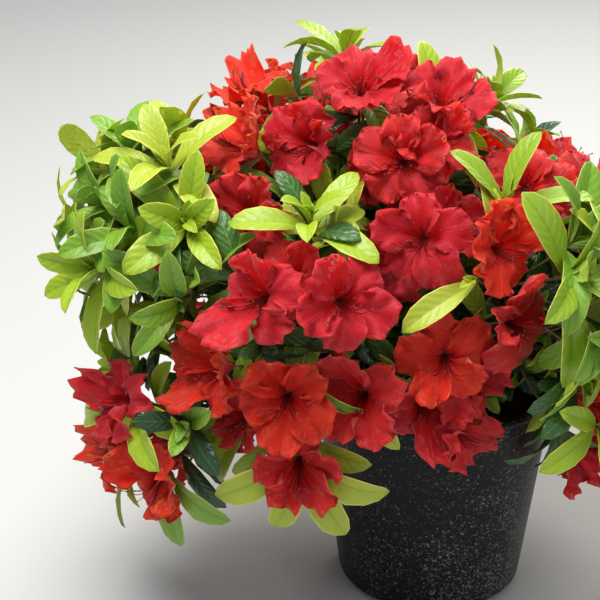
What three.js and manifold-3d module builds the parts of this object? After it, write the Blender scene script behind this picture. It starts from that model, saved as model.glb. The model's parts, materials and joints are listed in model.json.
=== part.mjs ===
// A red azalea in a black nursery pot, in millimetres, +Z up.
// The origin is the middle of the pot's flat underside, and the plant is seen from -Y.
// A short stem rises from the potting bark and carries boughs, and each bough ends at a mass:
// twigs that fork from one stem, with leaves and funnel-shaped blooms fused on.
import * as THREE from "three";
import { mergeVertices } from "three/addons/utils/BufferGeometryUtils.js";
import Module from "manifold-3d";

const wasm = await Module();
wasm.setup();

// The pot: a thin round tub that widens upwards to a rolled lip.
const POT = {
  height: 150,
  footRadius: 60,
  wallSlope: 0.125,
  flareFrom: 95,
  flareSpan: 45,
  flare: 2.2,
  footRound: 6,
  bends: [0.63, 0.82],
  wall: 1.8,
  floor: 2.4,
  lipWidth: 3.6,
  lipHeight: 5,
  lipRound: 1,
  sides: 28,
};

// The potting bark, its top a little under the rim. It has fewer sides than the pot, so it keeps
// a little further from the wall than from the floor, and its foot is rounded more.
const BARK = { level: 137, floorGap: 0.3, wallGap: 0.7, footRound: 9, sides: 20 };

// The stem, with its flare at the bark and its lean along X and Y.
const STEM = {
  height: 46,
  foot: 11.5,
  waist: 8,
  top: 6.5,
  flareShare: 0.3,
  lean: [-6, 1.5],
  sides: 8,
  rings: 6,
};

// The boughs, and where they leave: from the stem between two shares of its height, and from another
// bough at one share of its length and then a step further for each. A bough runs straight for a share
// of its span at either end, and swings aside where it has to.
const LIMB = { mainRadius: 3, sideRadius: 2.2, tipRadius: 1.8, sides: 4, rings: 4, clear: 0.3 };
const LEAVE = { low: 0.25, high: 0.9, rise: 0.5, first: 0.4, next: 0.17, near: 0.35, far: 0.3 };
const SWINGS = [0, 7, -7, 14, -14, 21, -21, 28, -28];

// The twigs, the leaves and the blooms.
const TWIG = { radius: 1.1, bud: 2.1, sides: 3, rings: 3, whorl: 2 / 3, sag: 0.08, spacing: 0.1, tested: 6 };
const LEAF = { length: 43, width: 17.5, thick: 1, belly: 0.47, arch: 0.1 };
const BLOOM = { radius: 28.5, notch: 0.62, depth: 18, throat: 7, dip: 4, petals: 5, corner: 20, set: 0.6 };

// A bloom faces part of the way from its shoot's own direction to one with this rise.
const FACING = { rise: 0.34, share: 0.5 };

// How far a bloom or a leafy shoot may be drawn in, and a bloom made smaller, to be free.
const BLOOM_PULLS = [0, 7, 14, 21];
const BLOOM_SIZES = [1, 0.9, 0.8];
const SHOOT_PULLS = [0, 10, 20];

// How far a mass's fork lies behind its face, how far its stem reaches back from there to its bough,
// and how its blooms and its leafy shoots lean from its heading, in degrees, by how many there are.
const FORK = { depth: 62, shootReach: 0.86, bloomLean: [0, 22, 28], shootLean: [0, 50, 54, 58, 60] };
const MASS_STEM = { length: 18, radius: 2, sides: 4 };

// The leaves under a bloom and those of a leafy shoot: their number, lean and length.
const COLLAR = { count: 3, lean: 66, leanSpan: 26, length: 0.9, lengthSpan: 0.24, root: 1.5 };
const ROSETTE = { count: 7, lean: 26, leanSpan: 72, length: 0.76, lengthSpan: 0.44, root: 2.5 };

// The room that is kept round each leaf, twig and bloom, over the pot's rim, over the ground
// and behind petals.
const CLEAR = { leaf: 0.4, twig: 0.6, bloom: 0.6, pot: 2.5, ground: 34, petals: 1.2 };
const GOLDEN = 137.508;

// One row for each mass: its name, the mass whose bough its own bough leaves (or "stem"),
// the bearing of its face from +X, how far out that is, its level above the ground, the bearing
// and the rise of its heading, its blooms, its leafy shoots, and the turn of its first bloom.
const CROWN = [
  ["crown_top", "stem", 204, 74, 333, 250, 44, 2, 2, 240],
  ["upper_left", "crown_top", 203, 130, 300, 226, 33, 2, 1, 122],
  ["upper_right", "right_face", 252, 47, 328, 275, 45, 2, 1, 233],
  ["right_face", "stem", 273, 102, 280, 280, 25, 2, 0, 170],
  ["right_top", "right_side", 338, 76, 286, 312, 40, 2, 1, 340],
  ["front_pair", "stem", 237, 160, 260, 262, 22, 2, 2, 180],
  ["right_front", "stem", 279, 113, 222, 285, 12, 2, 1, 200],
  ["rim_front", "right_front", 256, 132, 182, 262, -8, 2, 1, 155],
  ["front_left", "front_pair", 226, 168, 200, 240, 8, 2, 1, 170],
  ["low_front", "low_left", 228, 163, 158, 246, -14, 2, 1, 150],
  ["low_left", "stem", 203, 212, 138, 212, -10, 3, 3, 90],
  ["left_leafy", "stem", 193, 208, 284, 200, 30, 0, 5, 20],
  ["left_under", "left_leafy", 202, 194, 226, 204, -8, 0, 3, 90],
  ["right_shoots", "right_face", 304, 125, 262, 310, 25, 0, 4, 45],
  ["right_under", "right_low", 309, 128, 192, 308, 4, 0, 3, 100],
  ["right_low", "stem", 323, 127, 132, 318, -26, 1, 3, 60],
  ["right_side", "stem", 340, 165, 225, 340, 18, 2, 2, 20],
  ["low_side", "right_low", 353, 170, 140, 352, -16, 2, 2, 160],
  ["right_crest", "right_rear", 30, 112, 256, 34, 42, 2, 1, 80],
  ["right_rear", "right_side", 18, 176, 205, 20, 10, 2, 2, 140],
  ["rear_corner", "back_low", 48, 168, 152, 48, -10, 2, 2, 10],
  ["back_top", "crown_top", 100, 73, 311, 92, 46, 2, 2, 60],
  ["back_right", "back_low", 68, 164, 234, 70, 22, 2, 2, 200],
  ["back_left", "stem", 127, 158, 286, 122, 30, 2, 2, 20],
  ["back_low", "stem", 95, 170, 168, 94, -4, 2, 2, 170],
  ["left_crest", "back_left", 167, 136, 310, 172, 42, 2, 1, 100],
  ["left_rear", "stem", 160, 208, 240, 164, 20, 2, 2, 30],
  ["rear_low", "left_rear", 141, 202, 160, 140, -6, 2, 2, 158],
];

const COLOURS = {
  pot: { color: 0x1b1c1e, roughness: 0.55, metalness: 0 },
  bark: { color: 0x3a241a, roughness: 0.95, metalness: 0 },
  wood: { color: 0x6a5240, roughness: 0.9, metalness: 0 },
  bloom: { color: 0xc8141a, roughness: 0.6, metalness: 0 },
  foliage: { color: 0x7fae2c, roughness: 0.55, metalness: 0 },
};

// A repeatable run of numbers from 0 to 1.
function seeded(seed) {
  let state = (seed * 7919 + 12345) % 4294967296;
  const next = () => {
    state = (state * 1664525 + 1013904223) % 4294967296;
    return state / 4294967296;
  };
  next();
  next();
  return next;
}

// The direction with a bearing from +X and a rise above level, in degrees.
function outward(bearing, rise) {
  const flat = THREE.MathUtils.degToRad(bearing);
  const up = THREE.MathUtils.degToRad(rise);
  return new THREE.Vector3(Math.cos(up) * Math.cos(flat), Math.cos(up) * Math.sin(flat), Math.sin(up));
}

// Two directions across a direction, turned about it by an angle in degrees.
function across(way, turn) {
  const near = Math.abs(way.z) > 0.9 ? new THREE.Vector3(1, 0, 0) : new THREE.Vector3(0, 0, 1);
  const side = near.clone().cross(way).normalize();
  const other = way.clone().cross(side);
  const angle = THREE.MathUtils.degToRad(turn);
  return [
    side.clone().multiplyScalar(Math.cos(angle)).addScaledVector(other, Math.sin(angle)),
    other.clone().multiplyScalar(Math.cos(angle)).addScaledVector(side, -Math.sin(angle)),
  ];
}

// A direction leant away from another by an angle, towards a turn about it, both in degrees.
function leant(way, lean, turn) {
  const angle = THREE.MathUtils.degToRad(lean);
  const [side] = across(way, turn);
  return way.clone().multiplyScalar(Math.cos(angle)).addScaledVector(side, Math.sin(angle));
}

// A closed geometry as a solid.
function solid(geometry) {
  const bare = geometry.clone();
  bare.deleteAttribute("normal");
  bare.deleteAttribute("uv");
  const merged = mergeVertices(bare, 1e-4);
  const corners = merged.index.array;
  const kept = [];
  for (let i = 0; i < corners.length; i += 3) {
    const [a, b, c] = [corners[i], corners[i + 1], corners[i + 2]];
    if (a !== b && b !== c && a !== c) kept.push(a, b, c);
  }
  return new wasm.Manifold(
    new wasm.Mesh({
      numProp: 3,
      vertProperties: new Float32Array(merged.attributes.position.array),
      triVerts: new Uint32Array(kept),
    }),
  );
}

// The largest body of a solid, without the scraps and sealed hollows that joining leaves.
function largest(made) {
  return made.decompose().sort((a, b) => b.volume() - a.volume())[0];
}

// A solid as a named mesh.
function meshOf(name, made, look) {
  const { numProp, numVert, vertProperties, triVerts } = made.getMesh();
  const points = new Float32Array(numVert * 3);
  for (let i = 0; i < numVert; i++) points.set(vertProperties.subarray(i * numProp, i * numProp + 3), i * 3);
  const geometry = new THREE.BufferGeometry();
  geometry.setAttribute("position", new THREE.BufferAttribute(points, 3));
  geometry.setIndex(new THREE.BufferAttribute(new Uint32Array(triVerts), 1));
  geometry.computeVertexNormals();
  const mesh = new THREE.Mesh(geometry, new THREE.MeshStandardMaterial(COLOURS[look]));
  mesh.name = name;
  return mesh;
}

// Moves each point of a geometry by a function of its place.
function reshape(geometry, place) {
  const points = geometry.attributes.position;
  const point = new THREE.Vector3();
  for (let i = 0; i < points.count; i++) {
    const moved = place(point.fromBufferAttribute(points, i));
    points.setXYZ(i, moved.x, moved.y, moved.z);
  }
  return geometry;
}

// The pot wall's outer radius at a height.
function potRadius(z) {
  const above = Math.max(0, (z - POT.flareFrom) / POT.flareSpan);
  return POT.footRadius + POT.wallSlope * z + POT.flare * above * above;
}

// A body turned from a profile of [radius, height] pairs.
function turned(profile, sides) {
  const points = profile.map(([r, z]) => new THREE.Vector2(r, z));
  return solid(new THREE.LatheGeometry(points, sides).rotateX(Math.PI / 2));
}

function pot() {
  const bends = POT.bends.map((share) => share * POT.height);
  const lipFoot = POT.height - POT.lipHeight;
  const rim = potRadius(POT.height);
  const foot = POT.footRadius - POT.footRound;
  return turned(
    [
      [0, 0],
      [foot, 0],
      [POT.footRadius - POT.footRound * 0.25, POT.footRound * 0.35],
      ...[POT.footRound, ...bends, lipFoot].map((z) => [potRadius(z), z]),
      [rim + POT.lipWidth / 2, lipFoot + POT.lipRound],
      [rim + POT.lipWidth / 2, POT.height - POT.lipRound],
      [rim + POT.lipWidth / 2 - POT.lipRound, POT.height],
      [rim - POT.wall, POT.height],
      ...[...bends].reverse().map((z) => [potRadius(z) - POT.wall, z]),
      [potRadius(POT.footRound) - POT.wall, POT.footRound + POT.floor],
      [foot, POT.floor],
      [0, POT.floor],
    ],
    POT.sides,
  );
}

function bark() {
  const inside = POT.wall + BARK.wallGap;
  const bends = POT.bends.map((share) => share * POT.height);
  return turned(
    [
      [0, POT.floor + BARK.floorGap],
      [POT.footRadius - BARK.footRound, POT.floor + BARK.floorGap],
      [potRadius(BARK.footRound) - inside - BARK.wallGap, BARK.footRound + BARK.floorGap],
      ...[...bends, BARK.level].map((z) => [potRadius(z) - inside, z]),
      [0, BARK.level],
    ],
    BARK.sides,
  );
}

// A tapering limb along a curve, thickened by extra all round.
function limb(curve, radiusAt, sides, rings, extra = 0) {
  const frames = curve.computeFrenetFrames(rings, false);
  return solid(
    reshape(new THREE.CylinderGeometry(1, 1, 1, sides, rings), (p) => {
      const share = 0.5 + p.y;
      const ring = Math.round(share * rings);
      const radius = radiusAt(share) + extra;
      return curve
        .getPointAt(share)
        .addScaledVector(frames.binormals[ring], radius * p.x)
        .addScaledVector(frames.normals[ring], radius * p.z);
    }),
  );
}

// The stem's middle line and its radius along it.
const stemFoot = new THREE.Vector3(0, 0, BARK.level + LIMB.clear);
const stemCurve = new THREE.QuadraticBezierCurve3(
  stemFoot,
  stemFoot.clone().add(new THREE.Vector3(0, 0, STEM.height / 2)),
  stemFoot.clone().add(new THREE.Vector3(...STEM.lean, STEM.height)),
);
function stemRadius(share) {
  const flare = Math.max(0, 1 - share / STEM.flareShare);
  return THREE.MathUtils.lerp(STEM.waist, STEM.top, share) + (STEM.foot - STEM.waist) * flare * flare;
}

// The shoots of a mass: its blooms in a ring round its heading, and its leafy shoots between them.
// A mass without blooms sends its first shoot straight ahead.
function shootsOf(fork, way, blooms, shoots, spin) {
  const reach = FORK.depth * FORK.shootReach;
  const made = [];
  for (let k = 0; k < blooms; k++) {
    const axis = leant(way, FORK.bloomLean[blooms - 1], spin + (360 * k) / blooms);
    made.push({ flower: true, axis, middle: fork.clone().addScaledVector(axis, FORK.depth) });
  }
  const around = blooms ? shoots : shoots - 1;
  for (let k = 0; k < shoots; k++) {
    const lean = blooms === 0 && k === 0 ? 0 : FORK.shootLean[shoots - 1];
    const axis = leant(way, lean, spin + (blooms ? 180 / blooms : 0) + (360 * k) / around);
    made.push({ flower: false, axis, middle: fork.clone().addScaledVector(axis, reach) });
  }
  return made;
}

const masses = CROWN.map((row, index) => {
  const [name, parent, bearing, out, level, heading, rise, blooms, shoots, spin] = row;
  const way = outward(heading, rise);
  const face = outward(bearing, 0).multiplyScalar(out).setZ(level);
  const fork = face.clone().addScaledVector(way, -FORK.depth);
  return { name, parent, level, way, fork, index, shoots: shootsOf(fork, way, blooms, shoots, spin) };
});

// What already stands in the crown: each limb, twig, bloom and leaf, with the mass that owns it.
const taken = [];
function take(made, owner) {
  taken.push({ made, owner, box: boxOf(made) });
}

function boxOf(made) {
  const { min, max } = made.boundingBox();
  return new THREE.Box3(new THREE.Vector3(...min), new THREE.Vector3(...max));
}

// Whether a piece, made a little larger than it will be, touches nothing of another mass.
function isFree(made, owner) {
  const box = boxOf(made);
  return taken.every(
    (other) => other.owner === owner || !box.intersectsBox(other.box) || made.intersect(other.made).isEmpty(),
  );
}

// The bough of each mass. Those from the stem leave it one above another, the lowest mass's first,
// and the others leave one after another along the bough of their parent.
// A bough that would touch what already stands swings aside.
const mains = masses.filter((m) => m.parent === "stem").sort((a, b) => a.level - b.level);
const trunk = { curve: stemCurve, made: limb(stemCurve, stemRadius, STEM.sides, STEM.rings) };
trunk.seat = limb(stemCurve, stemRadius, STEM.sides, STEM.rings, LIMB.clear);
function boughOf(mass) {
  if (mass.bough) return mass.bough;
  const main = mass.parent === "stem";
  const parent = masses.find((m) => m.name === mass.parent);
  const carrier = main ? trunk : boughOf(parent);
  const sibling = masses.filter((m) => m.parent === mass.parent).indexOf(mass);
  const share = main
    ? THREE.MathUtils.lerp(LEAVE.low, LEAVE.high, mains.indexOf(mass) / (mains.length - 1))
    : LEAVE.first + LEAVE.next * sibling;
  const start = carrier.curve.getPointAt(share);
  const end = mass.fork.clone().addScaledVector(mass.way, -MASS_STEM.length);
  const span = end.distanceTo(start);
  const leave = end.clone().sub(start).setZ(0).normalize();
  const aside = new THREE.Vector3(-leave.y, leave.x, 0);
  if (main) leave.z = LEAVE.rise;
  else leave.add(carrier.curve.getTangentAt(share));
  const radiusAt = (s) => THREE.MathUtils.lerp(main ? LIMB.mainRadius : LIMB.sideRadius, LIMB.tipRadius, s);
  for (const swing of SWINGS) {
    const curve = new THREE.CubicBezierCurve3(
      start,
      start.clone().addScaledVector(leave.normalize(), span * LEAVE.near).addScaledVector(aside, swing),
      end.clone().addScaledVector(mass.way, -span * LEAVE.far).addScaledVector(aside, swing / 2),
      end,
    );
    const whole = limb(curve, radiusAt, LIMB.sides, LIMB.rings);
    const seat = limb(curve, radiusAt, LIMB.sides, LIMB.rings, LIMB.clear);
    mass.bough = { curve, end, seat, made: largest(whole.subtract(carrier.seat)) };
    if (isFree(largest(seat.subtract(carrier.seat)), carrier)) break;
  }
  take(mass.bough.made, mass.bough);
  return mass.bough;
}

// Whether points are clear of the ground, and outside the pot or above its rim.
function isOutside(points) {
  return points.every(
    (p) =>
      p.z > CLEAR.ground &&
      (p.z > POT.height + CLEAR.pot || Math.hypot(p.x, p.y) > potRadius(p.z) + POT.lipWidth / 2 + CLEAR.pot),
  );
}

// Whether points lie behind the petals of some blooms, or outside their rims.
function behind(points, blooms) {
  return blooms.every(({ foot, way, size }) =>
    points.every((p) => {
      const from = p.clone().sub(foot);
      const along = from.dot(way);
      const off = Math.sqrt(Math.max(0, from.lengthSq() - along * along));
      const petals = (BLOOM.depth * off) / BLOOM.radius;
      return off > BLOOM.radius * size + CLEAR.petals || along < petals - CLEAR.petals;
    }),
  );
}

// A leaf's main points: its root, its tip, the middle of its arched blade and its two edges.
function leafPoints(root, way, face, length) {
  const side = face.clone().cross(way).normalize();
  const up = way.clone().cross(side);
  const half = (LEAF.width * length) / LEAF.length / 2;
  const middle = root.clone().addScaledVector(way, length * LEAF.belly);
  middle.addScaledVector(up, length * LEAF.arch);
  const tip = root.clone().addScaledVector(way, length);
  const edges = [1, -1].map((s) => middle.clone().addScaledVector(side, s * half));
  return { side, up, half, middle, tip, edges };
}

// A leaf: an octahedron drawn out along the blade, its middle arched up, thickened by extra all round.
function leaf(root, { side, up, half, middle, tip }, extra = 0) {
  return solid(
    reshape(new THREE.OctahedronGeometry(1), (p) => {
      if (p.x < -0.5) return root;
      if (p.x > 0.5) return tip.clone().lerp(root, -extra / LEAF.length);
      return middle
        .clone()
        .addScaledVector(side, p.y * (half + extra))
        .addScaledVector(up, p.z * (LEAF.thick / 2 + extra));
    }),
  );
}

// A bloom: a funnel whose rim is drawn in and dips at the notches between its broad petals,
// thickened by extra all round.
function bloom({ foot, way, turn, size }, extra = 0) {
  const [side, other] = across(way, turn);
  const profile = [
    new THREE.Vector2(0, -extra),
    new THREE.Vector2(BLOOM.radius, BLOOM.depth),
    new THREE.Vector2(0, BLOOM.throat + extra),
  ];
  const around = BLOOM.petals * 3;
  const petal = (2 * Math.PI) / BLOOM.petals;
  const corner = THREE.MathUtils.degToRad(BLOOM.corner);
  return solid(
    reshape(new THREE.LatheGeometry(profile, around), (p) => {
      const step = (Math.round((Math.atan2(p.x, p.z) / (2 * Math.PI)) * around) + around) % around;
      const rim = Math.hypot(p.x, p.z) > 1;
      const notch = step % 3 === 0;
      const angle = (Math.floor(step / 3) + 0.5) * petal + [-petal / 2, -corner, corner][step % 3];
      const radius = rim ? BLOOM.radius * (notch ? BLOOM.notch : 1) * size + extra : 0;
      return foot
        .clone()
        .addScaledVector(side, Math.cos(angle) * radius)
        .addScaledVector(other, Math.sin(angle) * radius)
        .addScaledVector(way, p.y - (rim && notch ? BLOOM.dip : 0));
    }),
  );
}

// The twig from a point on a mass's stem to its tip. It sags a little, and swells where its leaves sit.
function twig(start, tip, whorl, extra = 0) {
  const bend = start.clone().lerp(tip, 0.5);
  bend.z -= TWIG.sag * start.distanceTo(tip);
  const curve = new THREE.QuadraticBezierCurve3(start, bend, tip);
  const rings = whorl < 1 ? TWIG.rings : 1;
  const bud = Math.round(whorl * rings);
  const radiusAt = (s) => (Math.round(s * rings) === bud ? TWIG.bud : TWIG.radius) + extra;
  return { curve, made: limb(curve, radiusAt, TWIG.sides, rings) };
}

// A shoot's twig, with its bloom drawn in and made smaller until both are free.
// A bloom turns from its shoot's own direction towards one a little above level.
function placeShoot(mass, shoot, index, turn) {
  const { axis, middle, flower } = shoot;
  shoot.facing = axis.clone();
  if (flower) shoot.facing.setZ(THREE.MathUtils.lerp(axis.z, FACING.rise, FACING.share)).normalize();
  shoot.turn = turn;
  shoot.whorl = flower ? TWIG.whorl : 1;
  const start = mass.stem.getPointAt(1 - TWIG.spacing * index);
  for (const pull of flower ? BLOOM_PULLS : SHOOT_PULLS) {
    for (const size of flower ? BLOOM_SIZES : [1]) {
      const tip = middle.clone().addScaledVector(axis, -pull);
      const foot = tip.clone().addScaledVector(shoot.facing, flower ? -BLOOM.depth * BLOOM.set : 0);
      const end = foot.clone().addScaledVector(shoot.facing, flower ? BLOOM.throat / 2 : 0);
      const wide = twig(start, end, shoot.whorl, CLEAR.twig);
      const made = { foot, way: shoot.facing, turn, size };
      if (!isOutside(wide.curve.getPoints(TWIG.tested)) || !isFree(wide.made, mass)) continue;
      if (flower && !(isOutside([foot]) && isFree(bloom(made, CLEAR.bloom), mass))) continue;
      shoot.bloom = flower ? made : null;
      shoot.twig = twig(start, end, shoot.whorl);
      return true;
    }
  }
  return false;
}

// The leaves of a shoot, each left out where it would touch another mass or come before a bloom.
function leavesOf(mass, shoot, random) {
  const kind = shoot.flower ? COLLAR : ROSETTE;
  const { curve } = shoot.twig;
  const heart = curve.getPointAt(shoot.flower ? shoot.whorl : 1 - kind.root / curve.getLength());
  const blooms = mass.shoots.filter((other) => other.bloom).map((other) => other.bloom);
  const made = [];
  for (let n = 0; n < kind.count; n++) {
    const share = n / kind.count;
    const way = leant(shoot.facing, kind.lean + kind.leanSpan * share, shoot.turn + GOLDEN * n);
    const length = LEAF.length * (kind.length + kind.lengthSpan * (shoot.flower ? random() : share));
    const root = heart.clone().addScaledVector(shoot.axis, kind.root * (0.5 - share));
    const shape = leafPoints(root, way, shoot.facing, length);
    const outer = shape.edges.map((edge) => edge.clone().lerp(shape.tip, 0.5));
    const far = [shape.tip, shape.middle, ...shape.edges, ...outer];
    if (!isOutside(far) || !behind(far, blooms) || !isFree(leaf(root, shape, CLEAR.leaf), mass)) continue;
    made.push(leaf(root, shape));
  }
  return made;
}

const plant = new THREE.Group();
const potMade = pot();
const barkMade = bark();
plant.add(meshOf("pot", potMade, "pot"));
plant.add(meshOf("potting_bark", barkMade, "bark"));
plant.add(meshOf("stem", trunk.made, "wood"));
take(potMade, null);
take(barkMade, null);
take(trunk.made, trunk);
for (const mass of masses) plant.add(meshOf(`bough_${mass.name}`, boughOf(mass).made, "wood"));

// The masses' stems come first, then their twigs with the blooms, and then all their leaves.
for (const mass of masses) {
  const tangent = mass.bough.curve.getTangentAt(1);
  const start = mass.bough.end.clone().addScaledVector(tangent, LIMB.clear);
  const bend = start.clone().addScaledVector(tangent, MASS_STEM.length / 2);
  mass.stem = new THREE.QuadraticBezierCurve3(start, bend, mass.fork);
  mass.parts = [limb(mass.stem, () => MASS_STEM.radius, MASS_STEM.sides, 1)];
  take(mass.parts[0], mass);
}
for (const mass of masses) {
  mass.random = seeded(mass.index + 1);
  mass.shoots = mass.shoots.filter((shoot, k) => placeShoot(mass, shoot, k, 360 * mass.random()));
  for (const { twig: made, bloom: flower } of mass.shoots) {
    const parts = flower ? [made.made, bloom(flower)] : [made.made];
    for (const part of parts) take(part, mass);
    mass.parts.push(...parts);
  }
}
for (const mass of masses) {
  for (const shoot of mass.shoots) {
    const leaves = leavesOf(mass, shoot, mass.random);
    for (const made of leaves) take(made, mass);
    mass.parts.push(...leaves);
  }
  const fused = mass.parts.reduce((all, part) => all.add(part));
  const look = mass.shoots.some((shoot) => shoot.bloom) ? "bloom" : "foliage";
  plant.add(meshOf(`mass_${mass.name}`, largest(fused), look));
}

export default plant;
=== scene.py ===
"""A red azalea in a black nursery pot: the looks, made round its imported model.

The growth rule works in millimetres, as the part does, and a mesh is stored in metres.
The plant is grown by the part's own rule. Where the part had to choose among places for a bough,
a twig or a bloom, the choice is read off the corners of its node in the frame.
"""

import json
import math
from functools import lru_cache
from types import SimpleNamespace

import bpy
import numpy as np
from bpy.props import FloatProperty, FloatVectorProperty, IntProperty, PointerProperty
from mathutils import Matrix, Vector
from mathutils.bvhtree import BVHTree

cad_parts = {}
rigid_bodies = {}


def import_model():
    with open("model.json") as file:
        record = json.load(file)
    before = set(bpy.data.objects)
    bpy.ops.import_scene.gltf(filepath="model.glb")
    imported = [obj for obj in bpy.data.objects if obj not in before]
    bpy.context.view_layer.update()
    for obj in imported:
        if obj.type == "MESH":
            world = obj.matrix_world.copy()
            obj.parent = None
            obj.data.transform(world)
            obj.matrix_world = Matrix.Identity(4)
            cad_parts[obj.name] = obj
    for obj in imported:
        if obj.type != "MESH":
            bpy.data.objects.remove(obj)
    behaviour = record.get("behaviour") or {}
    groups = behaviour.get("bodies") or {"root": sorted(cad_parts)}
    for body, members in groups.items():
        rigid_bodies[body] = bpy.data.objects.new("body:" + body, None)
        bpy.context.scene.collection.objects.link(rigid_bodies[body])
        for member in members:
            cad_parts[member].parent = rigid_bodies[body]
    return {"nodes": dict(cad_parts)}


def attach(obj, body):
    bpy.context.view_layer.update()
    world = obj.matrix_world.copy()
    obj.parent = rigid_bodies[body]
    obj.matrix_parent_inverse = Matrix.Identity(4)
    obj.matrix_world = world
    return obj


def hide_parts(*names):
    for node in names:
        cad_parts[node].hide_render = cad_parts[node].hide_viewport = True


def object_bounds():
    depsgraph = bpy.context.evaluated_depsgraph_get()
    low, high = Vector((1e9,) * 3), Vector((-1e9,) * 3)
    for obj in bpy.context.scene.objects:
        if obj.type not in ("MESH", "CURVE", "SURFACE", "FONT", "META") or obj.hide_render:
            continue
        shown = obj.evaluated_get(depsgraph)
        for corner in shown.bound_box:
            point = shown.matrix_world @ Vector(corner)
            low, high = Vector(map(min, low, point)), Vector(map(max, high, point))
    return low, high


bl_info = {
    "name": "Potted azalea",
    "version": (1, 0, 0),
    "blender": (4, 5, 0),
    "location": "3D View > Sidebar > Azalea",
    "description": "Grows a red azalea in its nursery pot round the packed model",
    "category": "Add Mesh",
}

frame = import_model()
CAD_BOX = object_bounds()
MM = 0.001

# The growth rule's sizes, in millimetres, degrees and shares.
POT = SimpleNamespace(
    height=150, foot_radius=60, slope=0.125, flare_from=95, flare_span=45, flare=2.2,
    foot_round=6, wall=1.8, floor=2.4, lip_width=3.6, lip_height=5,
)
BARK = SimpleNamespace(level=137, wall_gap=0.7, floor_gap=0.3, foot_round=9)
STEM = SimpleNamespace(height=46, foot=11.5, waist=8, top=6.5, flare_share=0.3, lean=(-6, 1.5))
LIMB = SimpleNamespace(main=3, side=2.2, tip=1.8, clear=0.3, swell=1.2, swell_share=1 / 12)
LEAVE = SimpleNamespace(low=0.25, high=0.9, rise=0.5, first=0.4, next=0.17, near=0.35, far=0.3)
SWINGS = (0, 7, -7, 14, -14, 21, -21, 28, -28)
TWIG = SimpleNamespace(
    radius=1.1, fine=0.8, taper=0.3, bud=2.1, whorl=2 / 3, sag=0.08, spacing=0.1
)
LEAF = SimpleNamespace(length=43, width=17.5, belly=0.47, arch=0.1)
BLOOM = SimpleNamespace(
    radius=28.5, notch=0.62, depth=18, throat=7, dip=4, petals=5, corner=20, set=0.6
)
FACING = SimpleNamespace(rise=0.34, share=0.5)
BLOOM_PULLS = (0, 7, 14, 21)
BLOOM_SIZES = (1, 0.9, 0.8)
SHOOT_PULLS = (0, 10, 20)
FORK = SimpleNamespace(
    depth=62, shoot_reach=0.86, bloom_lean=(0, 22, 28), shoot_lean=(0, 50, 54, 58, 60)
)
MASS_STEM = SimpleNamespace(length=18, radius=2)
COLLAR = SimpleNamespace(count=3, lean=66, lean_span=26, length=0.9, length_span=0.24, root=1.5)
ROSETTE = SimpleNamespace(count=7, lean=26, lean_span=72, length=0.76, length_span=0.44, root=2.5)
CLEAR = SimpleNamespace(pot=2.5, ground=34)
GOLDEN = 137.508

# How much longer the looks' leaves are than the part's in a leafy mass, and in one on the right.
LARGE = SimpleNamespace(leafy=1.16, right=1.3)

# How near a corner of a node counts as found, how many corners a bloom or a bud has to exceed, and where
# along it a bough is compared.
MATCH = SimpleNamespace(corner=0.05, ring=0.02, bloom=4, bud=2, bough=(0.5, 0.75))

# One row for each mass: its name, the mass whose bough its own bough leaves (or "stem"),
# the bearing of its face from +X, how far out that is, its level above the ground, the bearing
# and the rise of its heading, its blooms, its leafy shoots, and the turn of its first bloom.
CROWN = (
    ("crown_top", "stem", 204, 74, 333, 250, 44, 2, 2, 240),
    ("upper_left", "crown_top", 203, 130, 300, 226, 33, 2, 1, 122),
    ("upper_right", "right_face", 252, 47, 328, 275, 45, 2, 1, 233),
    ("right_face", "stem", 273, 102, 280, 280, 25, 2, 0, 170),
    ("right_top", "right_side", 338, 76, 286, 312, 40, 2, 1, 340),
    ("front_pair", "stem", 237, 160, 260, 262, 22, 2, 2, 180),
    ("right_front", "stem", 279, 113, 222, 285, 12, 2, 1, 200),
    ("rim_front", "right_front", 256, 132, 182, 262, -8, 2, 1, 155),
    ("front_left", "front_pair", 226, 168, 200, 240, 8, 2, 1, 170),
    ("low_front", "low_left", 228, 163, 158, 246, -14, 2, 1, 150),
    ("low_left", "stem", 203, 212, 138, 212, -10, 3, 3, 90),
    ("left_leafy", "stem", 193, 208, 284, 200, 30, 0, 5, 20),
    ("left_under", "left_leafy", 202, 194, 226, 204, -8, 0, 3, 90),
    ("right_shoots", "right_face", 304, 125, 262, 310, 25, 0, 4, 45),
    ("right_under", "right_low", 309, 128, 192, 308, 4, 0, 3, 100),
    ("right_low", "stem", 323, 127, 132, 318, -26, 1, 3, 60),
    ("right_side", "stem", 340, 165, 225, 340, 18, 2, 2, 20),
    ("low_side", "right_low", 353, 170, 140, 352, -16, 2, 2, 160),
    ("right_crest", "right_rear", 30, 112, 256, 34, 42, 2, 1, 80),
    ("right_rear", "right_side", 18, 176, 205, 20, 10, 2, 2, 140),
    ("rear_corner", "back_low", 48, 168, 152, 48, -10, 2, 2, 10),
    ("back_top", "crown_top", 100, 73, 311, 92, 46, 2, 2, 60),
    ("back_right", "back_low", 68, 164, 234, 70, 22, 2, 2, 200),
    ("back_left", "stem", 127, 158, 286, 122, 30, 2, 2, 20),
    ("back_low", "stem", 95, 170, 168, 94, -4, 2, 2, 170),
    ("left_crest", "back_left", 167, 136, 310, 172, 42, 2, 1, 100),
    ("left_rear", "stem", 160, 208, 240, 164, 20, 2, 2, 30),
    ("rear_low", "left_rear", 141, 202, 160, 140, -6, 2, 2, 158),
)


def seeded(seed):
    """A repeatable run of numbers from 0 to 1: state x 1664525 + 1013904223, cut at 2^32."""
    wrap = 2**32
    state = (seed * 7919 + 12345) % wrap

    def draw():
        nonlocal state
        state = (state * 1664525 + 1013904223) % wrap
        return state / wrap

    draw()
    draw()
    return draw


def unit(v):
    """A direction, or rows of them, made one long."""
    return v / np.linalg.norm(v, axis=-1, keepdims=True)


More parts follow.
